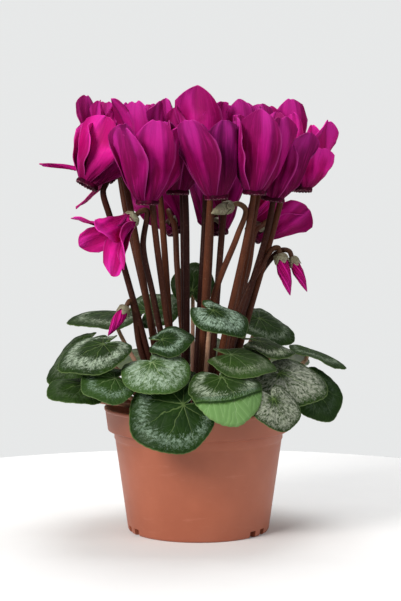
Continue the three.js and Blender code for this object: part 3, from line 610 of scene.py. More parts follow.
def new_finish(name, **constants):
    """A new material's tree and the inputs of its one Principled shader, with the constant values
    set on the shader itself."""
    material = bpy.data.materials.new(name)
    material.use_nodes = True
    material.node_tree.nodes.clear()
    tree = Tree(material.node_tree, material)
    shader = tree.add("ShaderNodeBsdfPrincipled")
    tree.add("ShaderNodeOutputMaterial", {"Surface": Value(tree, shader.outputs[0])})
    for label, value in constants.items():
        tree.join(value, shader.inputs[label.replace("_", " ")])
    return tree, shader.inputs


def dress(tree, shader, colour, roughness, normal=None):
    """The material, with its colour and roughness and, where there is relief, its normal."""
    tree.join(colour, shader["Base Color"])
    tree.join(roughness, shader["Roughness"])
    if normal is not None:
        tree.join(normal, shader["Normal"])
    return tree.material


def mottle_group():
    """Soft patches: a noise squeezed between two levels, and a finer noise beside it."""
    group, tree, given, put = new_group("Mottle", ("Vector", "Scale", "Low", "High"), ("Patches", "Grain"))
    vector, scale, low, high = given
    tree.join(tree.step(tree.noise(vector, scale, 4.0, 0.6), low, high), put["Patches"])
    tree.join(tree.noise(vector, scale * 6.5, 2.0, 0.5), put["Grain"])
    return group


def streak_group():
    """Fine lines that run from a petal's root to its tip and fan out with its width."""
    group, tree, given, put = new_group("Petal streaks", ("Along", "Across", "Seed"),
                                        ("Streaks", "Folds", "Midrib", "Edge"))
    along, across, seed = given
    fine = tree.vector(across * 9.0, along * 1.3, seed * 40.0)
    tree.join(tree.noise(fine, 1.6, 4.0, 0.65), put["Streaks"])
    # Folds: broad soft patches, used for relief and as the mask of the petal's painted light, shade and
    # sheen.
    broad = tree.vector(across, along * 0.9, seed * 23.0)
    tree.join(tree.step(tree.noise(broad, 1.5, 1.0, 0.4), 0.36, 0.64), put["Folds"])
    middle = tree.sum("ABSOLUTE", across)
    tree.join(tree.step(middle, 0.09, 0.0), put["Midrib"])
    # Edge: the mask of the petal's painted edge highlight.
    tree.join(tree.sum("MAXIMUM", tree.step(middle, 0.9, 1.0), tree.step(along, 0.975, 1.0)), put["Edge"])
    return group


def vein_group():
    """Leaf veins: rays from the stalk at equal angles, with side veins that leave each at a slant."""
    group, tree, given, put = new_group("Leaf veins", ("X", "Y"), ("Rays", "Side veins", "Quilt", "Fan"))
    x, y = given
    wander = (tree.noise(tree.vector(x, y, 0.0), 6.0, 2.0) - 0.5) * 0.11
    y = y + wander
    angle = tree.sum("ARCTAN2", y, x)
    reach = tree.sum("SQRT", x ** 2.0 + y ** 2.0)
    share = tree.sum("PINGPONG", angle * (VEIN_RAYS / TURN), 0.5)
    arc = share * (TURN / VEIN_RAYS) * reach
    tree.join(tree.step(arc, 0.012 - reach * 0.010, 0.0), put["Rays"])
    near = tree.sum("PINGPONG", reach * 9.0 - arc * 11.0 + wander * 9.0, 0.5)
    tree.join(tree.step(near, 0.085, 0.0), put["Side veins"])
    tree.join(tree.sum("MINIMUM", near * 2.0, tree.step(arc, 0.0, 0.06)), put["Quilt"])
    tree.join(tree.vector(angle * 2.6, reach * 2.2, 0.0), put["Fan"])
    return group


MOTTLE = mottle_group()
STREAKS = streak_group()
VEINS = vein_group()


def petal_finish():
    """Velvety magenta: purple to pink by the flower's tone, with painted light and shade over its broad
    folds; maroon at the mouth, partly its own colour and partly painted shade; bluer and paler towards
    the tip, with a painted sheen; dark and pale streaks along it, and a painted pale highlight at the edge."""
    tree, shader = new_finish("petal_magenta", Sheen_Weight=0.06, Sheen_Roughness=0.35,
                              Sheen_Tint=(1.0, 0.06, 0.6), Specular_IOR_Level=0.05,
                              Subsurface_Weight=0.06, Subsurface_Scale=0.004,
                              Subsurface_Radius=(1.0, 0.08, 0.45))
    along, across, tone = tree.marks("along", "across", "tone")
    streaks, folds, midrib, edge = tree.use(STREAKS, Along=along, Across=across, Seed=tone)
    clouds, grain = tree.mottle(tree.place(), 64.0, 0.38, 0.64)
    # Painted light and shade: the broad folds and the clouds choose between a lit and a shaded copy of the
    # petal colour.
    light = 0.12 + folds * 0.70 - clouds * 0.30
    shaded = tree.blend(tone, (0.062, 0.0006, 0.024), (0.44, 0.002, 0.125))
    lit = tree.blend(tone, (0.17, 0.0015, 0.082), (0.82, 0.012, 0.32))
    body = tree.layers(
        tree.blend(tree.step(light, 0.0, 0.75), shaded, lit),
        # Painted sheen: paler and bluer towards the tip, strongest where the folds are lit.
        (tree.step(along, 0.45, 1.0) * (0.16 + folds * 0.36), (0.64, 0.040, 0.40)),
        # Maroon towards the mouth: partly the petal's own dark eye, partly painted shade.
        (tree.step(along, 0.66, 0.04) * 0.8, (0.100, 0.0005, 0.028)),
        (tree.step(streaks, 0.5, 0.72) * 0.22, (0.10, 0.001, 0.045)),
        (tree.step(streaks, 0.48, 0.30) * 0.26, (0.70, 0.018, 0.31)),
        (midrib * 0.12, (0.10, 0.001, 0.045)),
        # Painted highlight along the petal's edge.
        (edge * 0.42, (0.80, 0.085, 0.46)))
    broad = tree.relief(folds, 0.7, 0.003)
    fine = tree.relief(streaks * 0.7 + grain * 0.3, 0.45, 0.0008, Normal=broad)
    return dress(tree, shader, body, 0.40 + grain * 0.25, fine)


def mouth_finish():
    """The mouth of a flower: very dark inside, with pale teeth on the rim."""
    tree, shader = new_finish("flower_mouth", Specular_IOR_Level=0.05)
    patches, grain = tree.mottle(tree.place(), 300.0, 0.4, 0.65)
    along, = tree.marks("along")
    teeth = tree.step(along, 0.1, 0.0) * tree.step(grain, 0.50, 0.60)
    body = tree.blend(patches, (0.028, 0.0002, 0.008), (0.080, 0.0006, 0.022))
    return dress(tree, shader, tree.blend(teeth * 0.7, body, (0.52, 0.26, 0.30)), 0.45 + grain * 0.2)


def stem_finish():
    """Fleshy stems: red brown below, turning olive tan towards the flower, with fine flecks."""
    tree, shader = new_finish("stem_red_brown", Specular_IOR_Level=0.16)
    place = tree.place()
    along, tint = tree.marks("along", "tint")
    lines, grain = tree.mottle(tree.stretch(place, 0.12), 260.0, 0.35, 0.65)
    flecks, _ = tree.mottle(place, 900.0, 0.58, 0.66)
    low = tree.blend(tint, (0.027, 0.005, 0.003), (0.115, 0.032, 0.012))
    high = tree.blend(tint, (0.064, 0.020, 0.009), (0.185, 0.100, 0.040))
    body = tree.layers(
        tree.blend(tree.step(along, 0.45, 0.95), low, high),
        (lines * 0.45, (0.034, 0.010, 0.007)),
        (flecks * 0.22, (0.26, 0.14, 0.09)))
    return dress(tree, shader, body, 0.36 + grain * 0.25, tree.relief(grain, 0.3, 0.0004))


def stalk_finish():
    """Leaf stalks: pinkish tan, redder at the foot."""
    tree, shader = new_finish("leaf_stalk_tan", Specular_IOR_Level=0.45)
    along, = tree.marks("along")
    lines, grain = tree.mottle(tree.place(), 420.0, 0.35, 0.7)
    body = tree.layers(
        tree.blend(tree.step(along, 0.1, 0.75), (0.26, 0.090, 0.060), (0.50, 0.31, 0.19)),
        (lines * 0.4, (0.26, 0.10, 0.065)))
    return dress(tree, shader, body, 0.4 + grain * 0.2)


def calyx_finish():
    """Sepals: grey olive, speckled with dark brown, with a pale edge."""
    tree, shader = new_finish("sepal_olive")
    place = tree.place()
    along, = tree.marks("along")
    spots, grain = tree.mottle(place, 850.0, 0.5, 0.62)
    patches, _ = tree.mottle(place, 220.0, 0.35, 0.7)
    body = tree.layers(
        tree.blend(patches, (0.16, 0.14, 0.075), (0.25, 0.24, 0.15)),
        (spots * 0.6, (0.075, 0.035, 0.025)),
        (tree.step(along, 0.86, 1.0), (0.34, 0.30, 0.19)))
    return dress(tree, shader, body, 0.5 + grain * 0.25, tree.relief(grain, 0.3, 0.0003))


def leaf_upper_finish():
    """Dark satin green with a silver marbled band, pale veins and a darker quilted surface; painted
    light on a folded-down flap, a painted shadow in its crease, and a pale rim that is partly painted
    highlight.
    """
    tree, shader = new_finish("leaf_upper_marbled", Specular_IOR_Level=0.06, Coat_Roughness=0.3)
    x, y, ring, silver, fresh = tree.marks("leaf_x", "leaf_y", "ring", "silver", "fresh")
    own = fresh * 7.0 + silver * 13.0
    flat = tree.vector(x, y, own)
    shift = (tree.noise(tree.vector(0.0, 0.0, own), 1.3) - 0.5) * 0.5
    rays, side_veins, quilt, fan = tree.use(VEINS, X=x, Y=y)
    patches, patch_grain = tree.mottle(flat, 5.0, 0.35, 0.68)
    marble, marble_grain = tree.mottle(flat, 17.0, 0.44, 0.55)
    spokes = tree.value("ShaderNodeVectorMath", {0: fan, 1: flat}, operation="ADD")
    feather, feather_grain = tree.mottle(spokes, 7.0, 0.42, 0.58)
    shifted = ring + (marble_grain - 0.5) * 0.20 + (feather_grain - 0.5) * 0.40
    shifted = shifted + (feather - 0.5) * 0.10 + side_veins * 0.08 + shift
    full = silver ** 2.0
    inner = tree.step(shifted, 0.66 - full * 0.60, 0.78 - full * 0.40)
    outer = tree.step(shifted, 0.86 + full * 0.08, 0.74 + full * 0.08)
    band = inner * outer * tree.step(silver, 0.0, 0.6)
    broken = band * (0.04 + (marble * 0.5 + feather * 0.5) * 0.96)
    hue = tree.step(tree.noise(tree.vector(0.0, own, 4.0), 2.7), 0.40, 0.60)
    pale = tree.blend(hue, (0.46, 0.51, 0.37), (0.36, 0.50, 0.38))
    pale = tree.blend(tree.step(silver, 0.89, 1.0), pale, (0.32, 0.34, 0.27))
    near = 0.22 + tree.step(ring, 0.9, 0.25) * 0.5
    lines = tree.sum("MAXIMUM", rays * near, side_veins * 0.13) * (0.55 + fresh)
    # Painted shadow: a dark band in the crease where the blade folds down.
    crease = tree.step(fresh, 0.5, 0.6) * tree.step(fresh, 0.84, 0.7)
    body = tree.layers(
        tree.blend(patches, (0.003, 0.008, 0.001), (0.012, 0.030, 0.002)),
        (hue * 0.5, (0.005, 0.024, 0.006)),
        (fresh ** 1.3, (0.105, 0.220, 0.052)),
        # Painted light: the folded-down flap, marked by a high fresh value, is a brighter green.
        (tree.step(fresh, 0.8, 0.9) * 0.45, (0.24, 0.44, 0.16)),
        (quilt * 0.14, (0.034, 0.070, 0.006)),
        (broken * 0.9, pale),
        (lines, tree.blend(fresh, (0.15, 0.23, 0.06), (0.42, 0.55, 0.30))),
        (crease * 0.85, (0.006, 0.022, 0.002)),
        # A pale rim: partly the leaf's pale margin, partly painted highlight along the edge.
        (tree.step(ring, 0.972, 0.995) * 0.5, (0.18, 0.26, 0.09)))
    tree.join(patches * 0.03, shader["Coat Weight"])
    height = quilt * 0.8 - rays * 0.6 + marble_grain * 0.4
    return dress(tree, shader, body, 0.34 + patch_grain * 0.22, tree.relief(height, 0.5, 0.0005))


def leaf_under_finish():
    """The pale yellow green underside, with veins that stand out."""
    tree, shader = new_finish("leaf_underside", Specular_IOR_Level=0.4)
    x, y = tree.marks("leaf_x", "leaf_y")
    rays, side_veins, _, _ = tree.use(VEINS, X=x, Y=y)
    patches, grain = tree.mottle(tree.vector(x, y, 0.0), 7.0, 0.3, 0.7)
    body = tree.layers(
        tree.blend(patches, (0.085, 0.16, 0.045), (0.14, 0.20, 0.065)),
        (rays * 0.8, (0.22, 0.20, 0.11)),
        (side_veins * 0.3, (0.20, 0.24, 0.10)))
    return dress(tree, shader, body, 0.45 + grain * 0.2, tree.relief(rays + side_veins * 0.4, 0.6, 0.0006))


def pot_finish():
    """Moulded terracotta plastic: satin, a little cloudy, with rubbed patches and darker patches near the
    foot.
    """
    tree, shader = new_finish("pot_terracotta_plastic", Specular_IOR_Level=0.5)
    place = tree.place()
    cloud, grain = tree.mottle(place, 22.0, 0.3, 0.72)
    scuff, scuff_grain = tree.mottle(tree.stretch(place, 5.0), 55.0, 0.60, 0.74)
    height = tree.value("ShaderNodeSeparateXYZ", {0: place}, port=2)
    body = tree.layers(
        tree.blend(cloud, (0.325, 0.084, 0.038), (0.38, 0.105, 0.050)),
        (scuff * 0.22, (0.50, 0.20, 0.13)),
        # Darker in patches towards the foot.
        (tree.step(height, 0.022, 0.0) * cloud * 0.25, (0.24, 0.075, 0.045)))
    roughness = 0.40 + grain * 0.12 + scuff * 0.12
    return dress(tree, shader, body, roughness, tree.relief(scuff_grain, 0.08, 0.0003))


def soil_finish():
    """Damp peat: brown black crumbs with paler fibres."""
    tree, shader = new_finish("soil_peat")
    place = tree.place()
    crumbs, grain = tree.mottle(place, 330.0, 0.35, 0.65)
    fibres, _ = tree.mottle(place, 900.0, 0.60, 0.70)
    body = tree.layers(
        tree.blend(crumbs, (0.012, 0.007, 0.004), (0.045, 0.026, 0.016)),
        (fibres * 0.5, (0.13, 0.08, 0.045)))
    return dress(tree, shader, body, 0.75 + grain * 0.2, tree.relief(grain, 0.8, 0.0012))


def tuber_finish():
    """The tuber's corky brown skin."""
    tree, shader = new_finish("tuber_cork")
    patches, grain = tree.mottle(tree.place(), 120.0, 0.35, 0.65)
    body = tree.blend(patches, (0.05, 0.028, 0.018), (0.14, 0.08, 0.05))
    return dress(tree, shader, body, 0.65 + grain * 0.25, tree.relief(grain, 0.8, 0.001))


PETAL = petal_finish()
MOUTH = mouth_finish()
STEM = stem_finish()
STALK = stalk_finish()
SEPAL = calyx_finish()
LEAF_UPPER = leaf_upper_finish()
LEAF_UNDER = leaf_under_finish()
POT = pot_finish()
SOIL = soil_finish()
TUBER = tuber_finish()


# The pot

BODY_TOP = POT_RADIUS - RIM_SLOPE - BAND_OVERHANG
BAND_FOOT = POT_HEIGHT - RIM_BAND
POT_FLOOR = FOOT_HEIGHT + WALL


def pot_profile():
    """The pot's section, from the axis under the floor, up the outside and down the inside."""
    inner_foot = FOOT_RADIUS - FOOT_WIDTH
    return [
        (0, 0), (CENTRE_FOOT_RADIUS - 0.5, 0), (CENTRE_FOOT_RADIUS, 0.4),
        (CENTRE_FOOT_RADIUS + 1, FOOT_HEIGHT), (inner_foot - 1, FOOT_HEIGHT), (inner_foot, 0.3),
        (inner_foot + 0.4, 0), (FOOT_RADIUS - 1.2, 0), (FOOT_RADIUS - 0.5, 0.3),
        (FOOT_RADIUS - 0.1, 0.9), (FOOT_RADIUS + 0.2, 2), (BODY_TOP - 0.5, BAND_FOOT - 7),
        (BODY_TOP - 0.35, BAND_FOOT - 6), (BODY_TOP - 0.1, BAND_FOOT - 5.4),
        (BODY_TOP + 0.25, BAND_FOOT - 4.9), (BODY_TOP + 0.35, BAND_FOOT - 1),
        (BODY_TOP + 0.6, BAND_FOOT - 0.1), (BODY_TOP + 1.2, BAND_FOOT + 0.1),
        (POT_RADIUS - 2.8, BAND_FOOT + 0.15), (POT_RADIUS - 2.35, BAND_FOOT + 0.45),
        (POT_RADIUS - 2.2, BAND_FOOT + 1), (POT_RADIUS - 0.7, POT_HEIGHT - 2.6),
        (POT_RADIUS - 0.5, POT_HEIGHT - 2.1), (POT_RADIUS - 0.1, POT_HEIGHT - 1.6),
        (POT_RADIUS, POT_HEIGHT - 1.2), (POT_RADIUS, POT_HEIGHT - 0.4),
        (POT_RADIUS - 0.35, POT_HEIGHT), (POT_RADIUS - WALL + 0.3, POT_HEIGHT),
        (POT_RADIUS - WALL, POT_HEIGHT - 0.4), (POT_RADIUS - RIM_SLOPE - WALL, BAND_FOOT + 1.9),
        (BODY_TOP - WALL, BAND_FOOT + 0.4), (FOOT_RADIUS - WALL + 0.2, POT_FLOOR + 1),
        (FOOT_RADIUS - WALL - 0.8, POT_FLOOR), (0, POT_FLOOR),
    ]


def box_sheet(low, high, heading):
    """A box between two corners, turned about +Z."""
    corner = np.stack(np.meshgrid([0, 1], [0, 1], [0, 1], indexing="ij"), axis=-1).reshape(-1, 3)
    points = np.asarray(low) + corner * (np.asarray(high) - np.asarray(low))
    faces = np.array([[0, 1, 3, 2], [4, 6, 7, 5], [0, 4, 5, 1], [2, 3, 7, 6], [0, 2, 6, 4], [1, 5, 7, 3]])
    return sheet(points @ turn_about_z(heading), faces)


def pot_cutters():
    """Six notches in the foot, in three pairs, and six round drain holes in the floor."""
    low = (-NOTCH_WIDTH / 2, -FOOT_RADIUS - CUT_PAST, -CUT_PAST)
    high = (NOTCH_WIDTH / 2, -FOOT_RADIUS + FOOT_WIDTH + CUT_PAST, NOTCH_HEIGHT)
    cutters = [box_sheet(low, high, math.radians(group + offset))
               for group in NOTCH_GROUPS for offset in (-NOTCH_OFFSET, NOTCH_OFFSET)]
    past_floor = POT_FLOOR * 2
    rod = turned([(0, -CUT_PAST), (DRAIN_RADIUS, -CUT_PAST), (DRAIN_RADIUS, past_floor), (0, past_floor)],
                 DRAIN_SIDES)
    for angle in full_turn(DRAIN_COUNT):
        centre = round_axis(DRAIN_RING, angle, 0)
        cutters.append(ringed(*(part + centre for part in rod)))
    return cutters


def make_pot():
    """The turned pot, with the notches and drain holes cut out of it."""
    shell = make_piece("pot_shell", [ringed(*turned(pot_profile(), POT_SIDES))], [POT], "pot", "pot")
    cutter = make_piece("pot_cutters", pot_cutters(), [POT], "pot")
    cut = shell.modifiers.new("openings", "BOOLEAN")
    cut.object = cutter
    cut.solver = "EXACT"
    cut.use_self = False
    bpy.context.view_layer.update()
    ready = shell.evaluated_get(bpy.context.evaluated_depsgraph_get())
    mesh = bpy.data.meshes.new_from_object(ready)
    shell.modifiers.clear()
    shell.data = mesh
    mesh.set_sharp_from_angle(angle=math.radians(SHARP_ANGLE))
    bpy.data.objects.remove(cutter)


# The soil and the tuber

def soil_ripple(x, y):
    """The same low swells as the solid, with finer crumbs on them."""
    swell = np.sin(x * 0.31 + 1) * np.cos(y * 0.27) + np.sin(x * 0.83 - y * 0.71)
    return SOIL_RIPPLE * 0.8 * swell + 0.55 * ripples(x, y, seed=5, count=9, low=1.2, high=5.5)


def make_soil():
    """A closed bed: a turned block whose upper rings follow the ripples, with loose crumbs on it."""
    surface = POT_HEIGHT - SOIL_BELOW_RIM
    rim = POT_RADIUS - RIM_SLOPE - WALL + (surface - BAND_FOOT - 1.8) / RIM_BAND * RIM_SLOPE
    under = [(0, POT_FLOOR + GAP), (FOOT_RADIUS - WALL - 1, POT_FLOOR + GAP),
             (BODY_TOP - WALL - 0.4, BAND_FOOT + 0.7),
             (POT_RADIUS - RIM_SLOPE - WALL - 0.4, BAND_FOOT + 2.1), (rim - 0.5, surface - 0.9)]
    top = [(radius, surface) for radius in np.linspace(rim - 1, 2, SOIL_RINGS)]
    rings, low, high = turned(under + top + [(0, surface)], SOIL_SIDES)
    upper = rings[len(under) - 1:]
    settle = ease(rim, rim - 4, np.hypot(upper[..., 0], upper[..., 1]))
    upper[..., 2] += soil_ripple(upper[..., 0], upper[..., 1]) * settle - SOIL_SUNK
    number = np.arange(CRUMBS)
    out = CRUMBS_FROM + (rim - 2 - CRUMBS_FROM) * chance(number * 7 + 2) ** 0.6
    size = CRUMB_SMALLEST + CRUMB_SPREAD * chance(number * 7 + 3) ** 3
    spots = round_axis(out, TURN * chance(number * 7 + 1), surface)
    spots[:, 2] += soil_ripple(spots[:, 0], spots[:, 1]) * ease(rim, rim - 4, out) - CRUMB_SUNK
    lump = crumb_shape()
    sheets = [ringed(rings, low, high)]
    for index in range(CRUMBS):
        turn = turn_about_z(TURN * chance(index * 7 + 4)) * (1, 1, CRUMB_FLATNESS)
        sheets.append(ringed(*(part @ turn * size[index] + spots[index] for part in lump)))
    make_piece("soil_bed", sheets, [SOIL], "soil", "soil")


def crumb_shape():
    """A small uneven ball: a turned half circle whose radius swings with the angle."""
    angle = np.linspace(0, math.pi, CRUMB_ROWS)
    profile = np.stack([np.sin(angle), -np.cos(angle)], axis=1)
    return turned(profile, CRUMB_SIDES,
                  lambda around: 1 + 0.22 * np.sin(3 * around + 1) + 0.12 * np.cos(5 * around))


def tuber_top(radius):
    """The height of the tuber's upper face at a distance from its middle."""
    share = min(radius / TUBER_RADIUS, 1) ** (1 / TUBER_ROUNDNESS)
    return (TUBER_TOP + TUBER_BOTTOM) / 2 + (TUBER_TOP - TUBER_BOTTOM) / 2 * math.sqrt(1 - share * share)


def make_tuber():
    """A flattened ball: radius goes as a power of the sine, roughened by small ripples."""
    angle = np.linspace(0, math.pi, TUBER_ROWS)
    middle = (TUBER_TOP + TUBER_BOTTOM) / 2
    half = (TUBER_TOP - TUBER_BOTTOM) / 2
    radius = TUBER_RADIUS * np.sin(angle).clip(0) ** TUBER_ROUNDNESS
    rings, low, high = turned(np.stack([radius, middle - half * np.cos(angle)], axis=1), TUBER_SIDES)
    x, y, z = np.moveaxis(rings, -1, 0)
    bumps = 0.35 * ripples(x + z, y, seed=40, count=8, low=0.3, high=2.2)
    rings = rings + bumps[..., None] * unit(rings - np.array([0, 0, middle]))
    shift = np.array([TUBER_X, 0, 0])
    make_piece("tuber", [ringed(rings + shift, low + shift, high + shift)], [TUBER], "stem", "crown")


# The open flowers

def flower_frame(flower):
    """An open flower's axes: the third from the mouth to the tips, the first towards its stem."""
    to_stem = (TUBER_X - flower.mouth[0], -flower.mouth[1], -25)
    return frame_of(flower.mouth, flower.tips, flower.stem_side or to_stem)


def nearest_on_axis(own, points):
    """The nearest point of a flower's axis, from its mouth to its tips, for each point."""
    third = own.axes[2]
    height = np.clip((points - own.start) @ third, 0, own.length)
    return own.start + height[..., None] * third


def keep_clear(points, own, others, margin):
    """Each point is moved back where it comes nearer to a neighbour's axis than to its own."""
    for _ in range(NEIGHBOUR_ROUNDS):
        for other in others:
            home = nearest_on_axis(own, points)
            away = nearest_on_axis(other, points)
            excess = (np.linalg.norm(points - home, axis=-1) + margin
                      - np.linalg.norm(points - away, axis=-1)).clip(0)
            points = points + unit(home - away) * (excess / NEIGHBOUR_SOFTNESS)[..., None]
    return points


def petal_points(own, petal, u, v):
    """A petal's middle surface. The lean falls from its start to its spread with distance, and
    flares near the tip; its sine and cosine are summed to give out and up. The width is a root
    that narrows and a bulge; the petal cups by the square of u, inwards below and outwards at the
    tip, twists and sways."""
    out = np.full(u.shape, MOUTH_RADIUS - 1.2)
    up = np.full(u.shape, 0.8)
    for step in range(PROFILE_STEPS):
        s = v * (step + 0.5) / PROFILE_STEPS
        lean = (petal["spread"] + (petal["start"] - petal["spread"]) * np.exp(-s / 0.2)
                + petal["flare"] * ease(0.55, 1, s))
        out += np.sin(lean) * petal["length"] * v / PROFILE_STEPS
        up += np.cos(lean) * petal["length"] * v / PROFILE_STEPS
    claw = petal["claw"]
    widest = claw / (claw + TIP_POWER)
    fullest = widest ** claw * (1 - widest) ** TIP_POWER
    bulge = v ** claw * (1 - v).clip(0) ** TIP_POWER / fullest
    half = PETAL_ROOT_HALF * (1 - v) ** 2 + petal["half"] * bulge
    twist = petal["twist"] * ease(0, 0.3, v)
    sideways = u * half + petal["sway"] * petal["length"] * v * v
    cup = petal["cup"] * half * u * u * (1 - TIP_CURL * ease(0.45, 1, v))
    outwards = sideways * np.sin(twist) - cup * np.cos(twist)
    around = sideways * np.cos(twist) + cup * np.sin(twist)
    first, second, third = own.axes
    radial = first * math.cos(petal["angle"]) + second * math.sin(petal["angle"])
    tangent = np.cross(third, radial)
    return (own.start + up[..., None] * third + (out + outwards)[..., None] * radial
            + around[..., None] * tangent)


def petal_sheet(own, petal, others=()):
    """One petal: its middle surface with a waved and ruffled edge, low swells, a midrib crease and
    faint flutes."""
    phase = petal["phase"]
    along = np.sin(np.linspace(0, math.pi / 2, PETAL_ROWS))[:, None]
    u = np.linspace(-1, 1, PETAL_COLUMNS)[None, :] + 0 * along
    cleft = petal["notch"] * np.exp(-(u / 0.3) ** 2) * along ** 8
    arch = TIP_ARCH * (1 - np.sqrt((1 - u * u).clip(0))) + 0.006 * np.sin(5 * u + phase) * along ** 12
    v = along * (1 - arch) - cleft
    middle = keep_clear(petal_points(own, petal, u, v), own, others, petal["margin"])
    wave = petal["wave"] * v ** 1.5 * u ** 2 * np.sin(petal["waves"] * TURN * v + phase + u)
    crease = -0.45 * np.exp(-(u / 0.12) ** 2) * v * (1 - v * 0.6)
    flutes = 0.20 * np.sin(u * 14 + phase) * v * (1 - v)
    ruffle = 0.55 * np.abs(u) ** 5 * v * (1 - v ** 8) * np.sin(24 * v + 3 * phase + u)
    swell = 1.0 * np.sin(5.2 * v + phase) * np.sin(2.1 * u + 2 * phase) * v
    middle = middle + surface_normals(middle) * (wave + crease + flutes + ruffle + swell)[..., None]
    return blade(middle, PETAL_THICKNESS, along=v, across=u, tone=petal["tone"])


def petals_of(flower, length, seed):
    """The five petals, parted round the stem, each a little unlike the next."""
    step = (180 - flower.parting) / 2
    angles = (flower.parting, flower.parting + step, 180, 180 + step, 360 - flower.parting)
    petals = []
    for index, angle in enumerate(angles):
        beside = index in (0, CORNERS - 1)
        draw = [float(chance(seed * 31 + index * 7 + kind)) - 0.5 for kind in range(12)]
        petal = {
            "turn": draw[1] * 10, "length": 1 + draw[2] * 0.12, "start": PETAL_START,
            "half": flower.width / 2 * (0.9 if beside else 1) * (1 + draw[3] * 0.12),
            "spread": flower.spread + draw[4] * 6, "flare": 6 + draw[5] * 24, "twist": 30 + draw[6] * 14,
            "cup": (0.35 if beside else 0.42) + draw[7] * 0.2, "sway": 0.02, "claw": 1.8 if beside else 1.05,
            "margin": NEIGHBOUR_MARGIN, "notch": 0.02 + 0.03 * (draw[8] + 0.5),
            "wave": 0.9 + draw[9], "waves": 1.3 + draw[10], "phase": TURN * draw[11], "tone": draw[0] * 0.25,
        }
        petal.update(flower.petals.get(index, {}))
        petal["angle"] = angle + petal["turn"]
        petal["length"] *= length
        petal["tone"] = min(max(flower.tone + petal["tone"], 0), 1)
        petals.append(in_radians(petal))
    return petals


def in_radians(petal):
    """A petal whose angles are turned from degrees to radians."""
    angles = ("angle", "start", "spread", "flare", "twist")
    return {**petal, **{name: math.radians(petal[name]) for name in angles}}


def mouth_sheets(own, tone):
    """The tube with its five-cornered toothed rim and hollow mouth, and the style in the middle."""
    profile = np.array([
        (0, 5.4), (2.6, 5.2), (4.1, 4.4), (4.9, 2.8), (5.5, 1), (6.1, -0.3), (6.6, -0.6), (7.0, -0.2),
        (7.25, 0.6), (7.2, 1.3), (6.6, 2.6), (5.8, 4.6), (5.4, TUBE_HEIGHT - 0.6), (4.8, TUBE_HEIGHT),
        (0, TUBE_HEIGHT),
    ])
    rings, low, high = turned(profile, MOUTH_SIDES, lambda angle: 1 + 0.045 * np.cos(CORNERS * angle))
    teeth = np.abs(np.sin(10 * full_turn(MOUTH_SIDES)))
    rings[3:8, :, 2] -= 0.45 * teeth * np.array([0.3, 0.8, 1, 1, 0.6])[:, None]
    depth = np.abs(profile[1:-1, 1] + 0.3) / 6
    marks = {"across": 0.0, "tone": tone, "face": 1.0}
    bowl = ringed(*placed((rings, low, high), own), 1, along=depth[:, None], **marks)
    style = turned([(0, -1.3), (0.45, -1.2), (0.6, 0), (1.2, 2.6), (1.5, 4.6), (0, 5.6)], STYLE_SIDES)
    return [bowl, ringed(*placed(style, own), 1, along=0.05, **marks)]


def make_flower(index, frames):
    """One open flower: five petals and the mouth."""
    flower = FLOWERS[index]
    own = frames[index]
    others = [other for other in frames if other is not own
              and np.linalg.norm(other.start - own.start) < NEIGHBOUR_REACH]
    sheets = [petal_sheet(own, petal, others) for petal in petals_of(flower, own.length, index + 1)]
    sheets += mouth_sheets(own, flower.tone)
    make_piece(f"flower_{index + 1:02d}", sheets, [PETAL, MOUTH], "petal", f"bloom_{index + 1:02d}")


# The nodding half-open flower

def nodding_frame():
    """The nodding flower's axes: the third from the calyx to the tips."""
    return frame_of(NODDING.mouth, NODDING.tips, FORWARDS)


def make_nodding_flower():
    """A short bulging tube with five petals that spread from it."""
    own = nodding_frame()
    root = own._replace(start=own.start + own.axes[2] * 2)
    sheets = []
    for index in range(CORNERS):
        petal = {
            "angle": 360 * index / CORNERS, "length": own.length * 1.15, "half": NODDING.width / 2,
            "start": -34, "spread": 44 + 10 * (float(chance(index + 90)) - 0.5), "flare": 10, "twist": 12,
            "cup": 0.35, "sway": 0.02, "claw": 0.9, "margin": 0, "notch": 0.02, "wave": 0.8, "waves": 1.2,
            "phase": index * 1.9, "tone": NODDING.tone + 0.1 * float(chance(index + 95)),
        }
        sheets.append(petal_sheet(root, in_radians(petal)))
    profile = [(0, GAP), (3.2, GAP + 0.1), (4.3, 1.2), (5.1, 2.8), (5.2, 4.2), (4.9, 6), (4.2, 7.4), (0, 8)]
    tube_parts = turned(profile, NODDING_SIDES, lambda angle: 1 + 0.05 * np.cos(CORNERS * angle))
    sheets.append(ringed(*placed(tube_parts, own), along=0.3, across=0.3, tone=NODDING.tone, face=1.0))
    name = f"{len(FLOWERS) + 1:02d}"
    make_piece(f"flower_{name}", sheets, [PETAL, MOUTH], "petal", f"bloom_{name}")


# Buds

def bud_frame(bud):
    """A bud's axes: the third from the calyx to the closed point."""
    return frame_of(bud.calyx, bud.tip, FORWARDS)


def make_bud(index):
    """A spindle of furled petals: the radius swells and tapers to a point, and five overlapping
    edges wind round it in a half turn."""
    bud = BUDS[index]
    own = bud_frame(bud)
    t = np.linspace(0, 1, BUD_ROWS)[:, None]
    angle = full_turn(BUD_SIDES)[None, :]
    fatness = np.interp(t, [0, 0.12, 0.38, 0.68, 0.9, 1], [0.62, 0.9, 1, 0.68, 0.28, 0.06])
    winding = (CORNERS * angle / TURN + 1.6 * t) % 1
    furl = 1 + 0.16 * (winding - 0.5) * ease(0, 0.2, t)
    rings = round_axis(bud.radius * fatness * furl, angle, GAP + t * own.length)
    parts = placed((rings, (0, 0, GAP), (0, 0, GAP + own.length)), own)
    body = ringed(*parts, along=0.35 + 0.6 * t, across=winding * 2 - 1, tone=0.9, face=1.0)
    finish = SEPAL if bud.green else PETAL
    make_piece(f"flower_bud_{index + 1:02d}", [body], [finish], "petal", f"bud_{index + 1:02d}")


# Stems, calyxes and leaf stalks

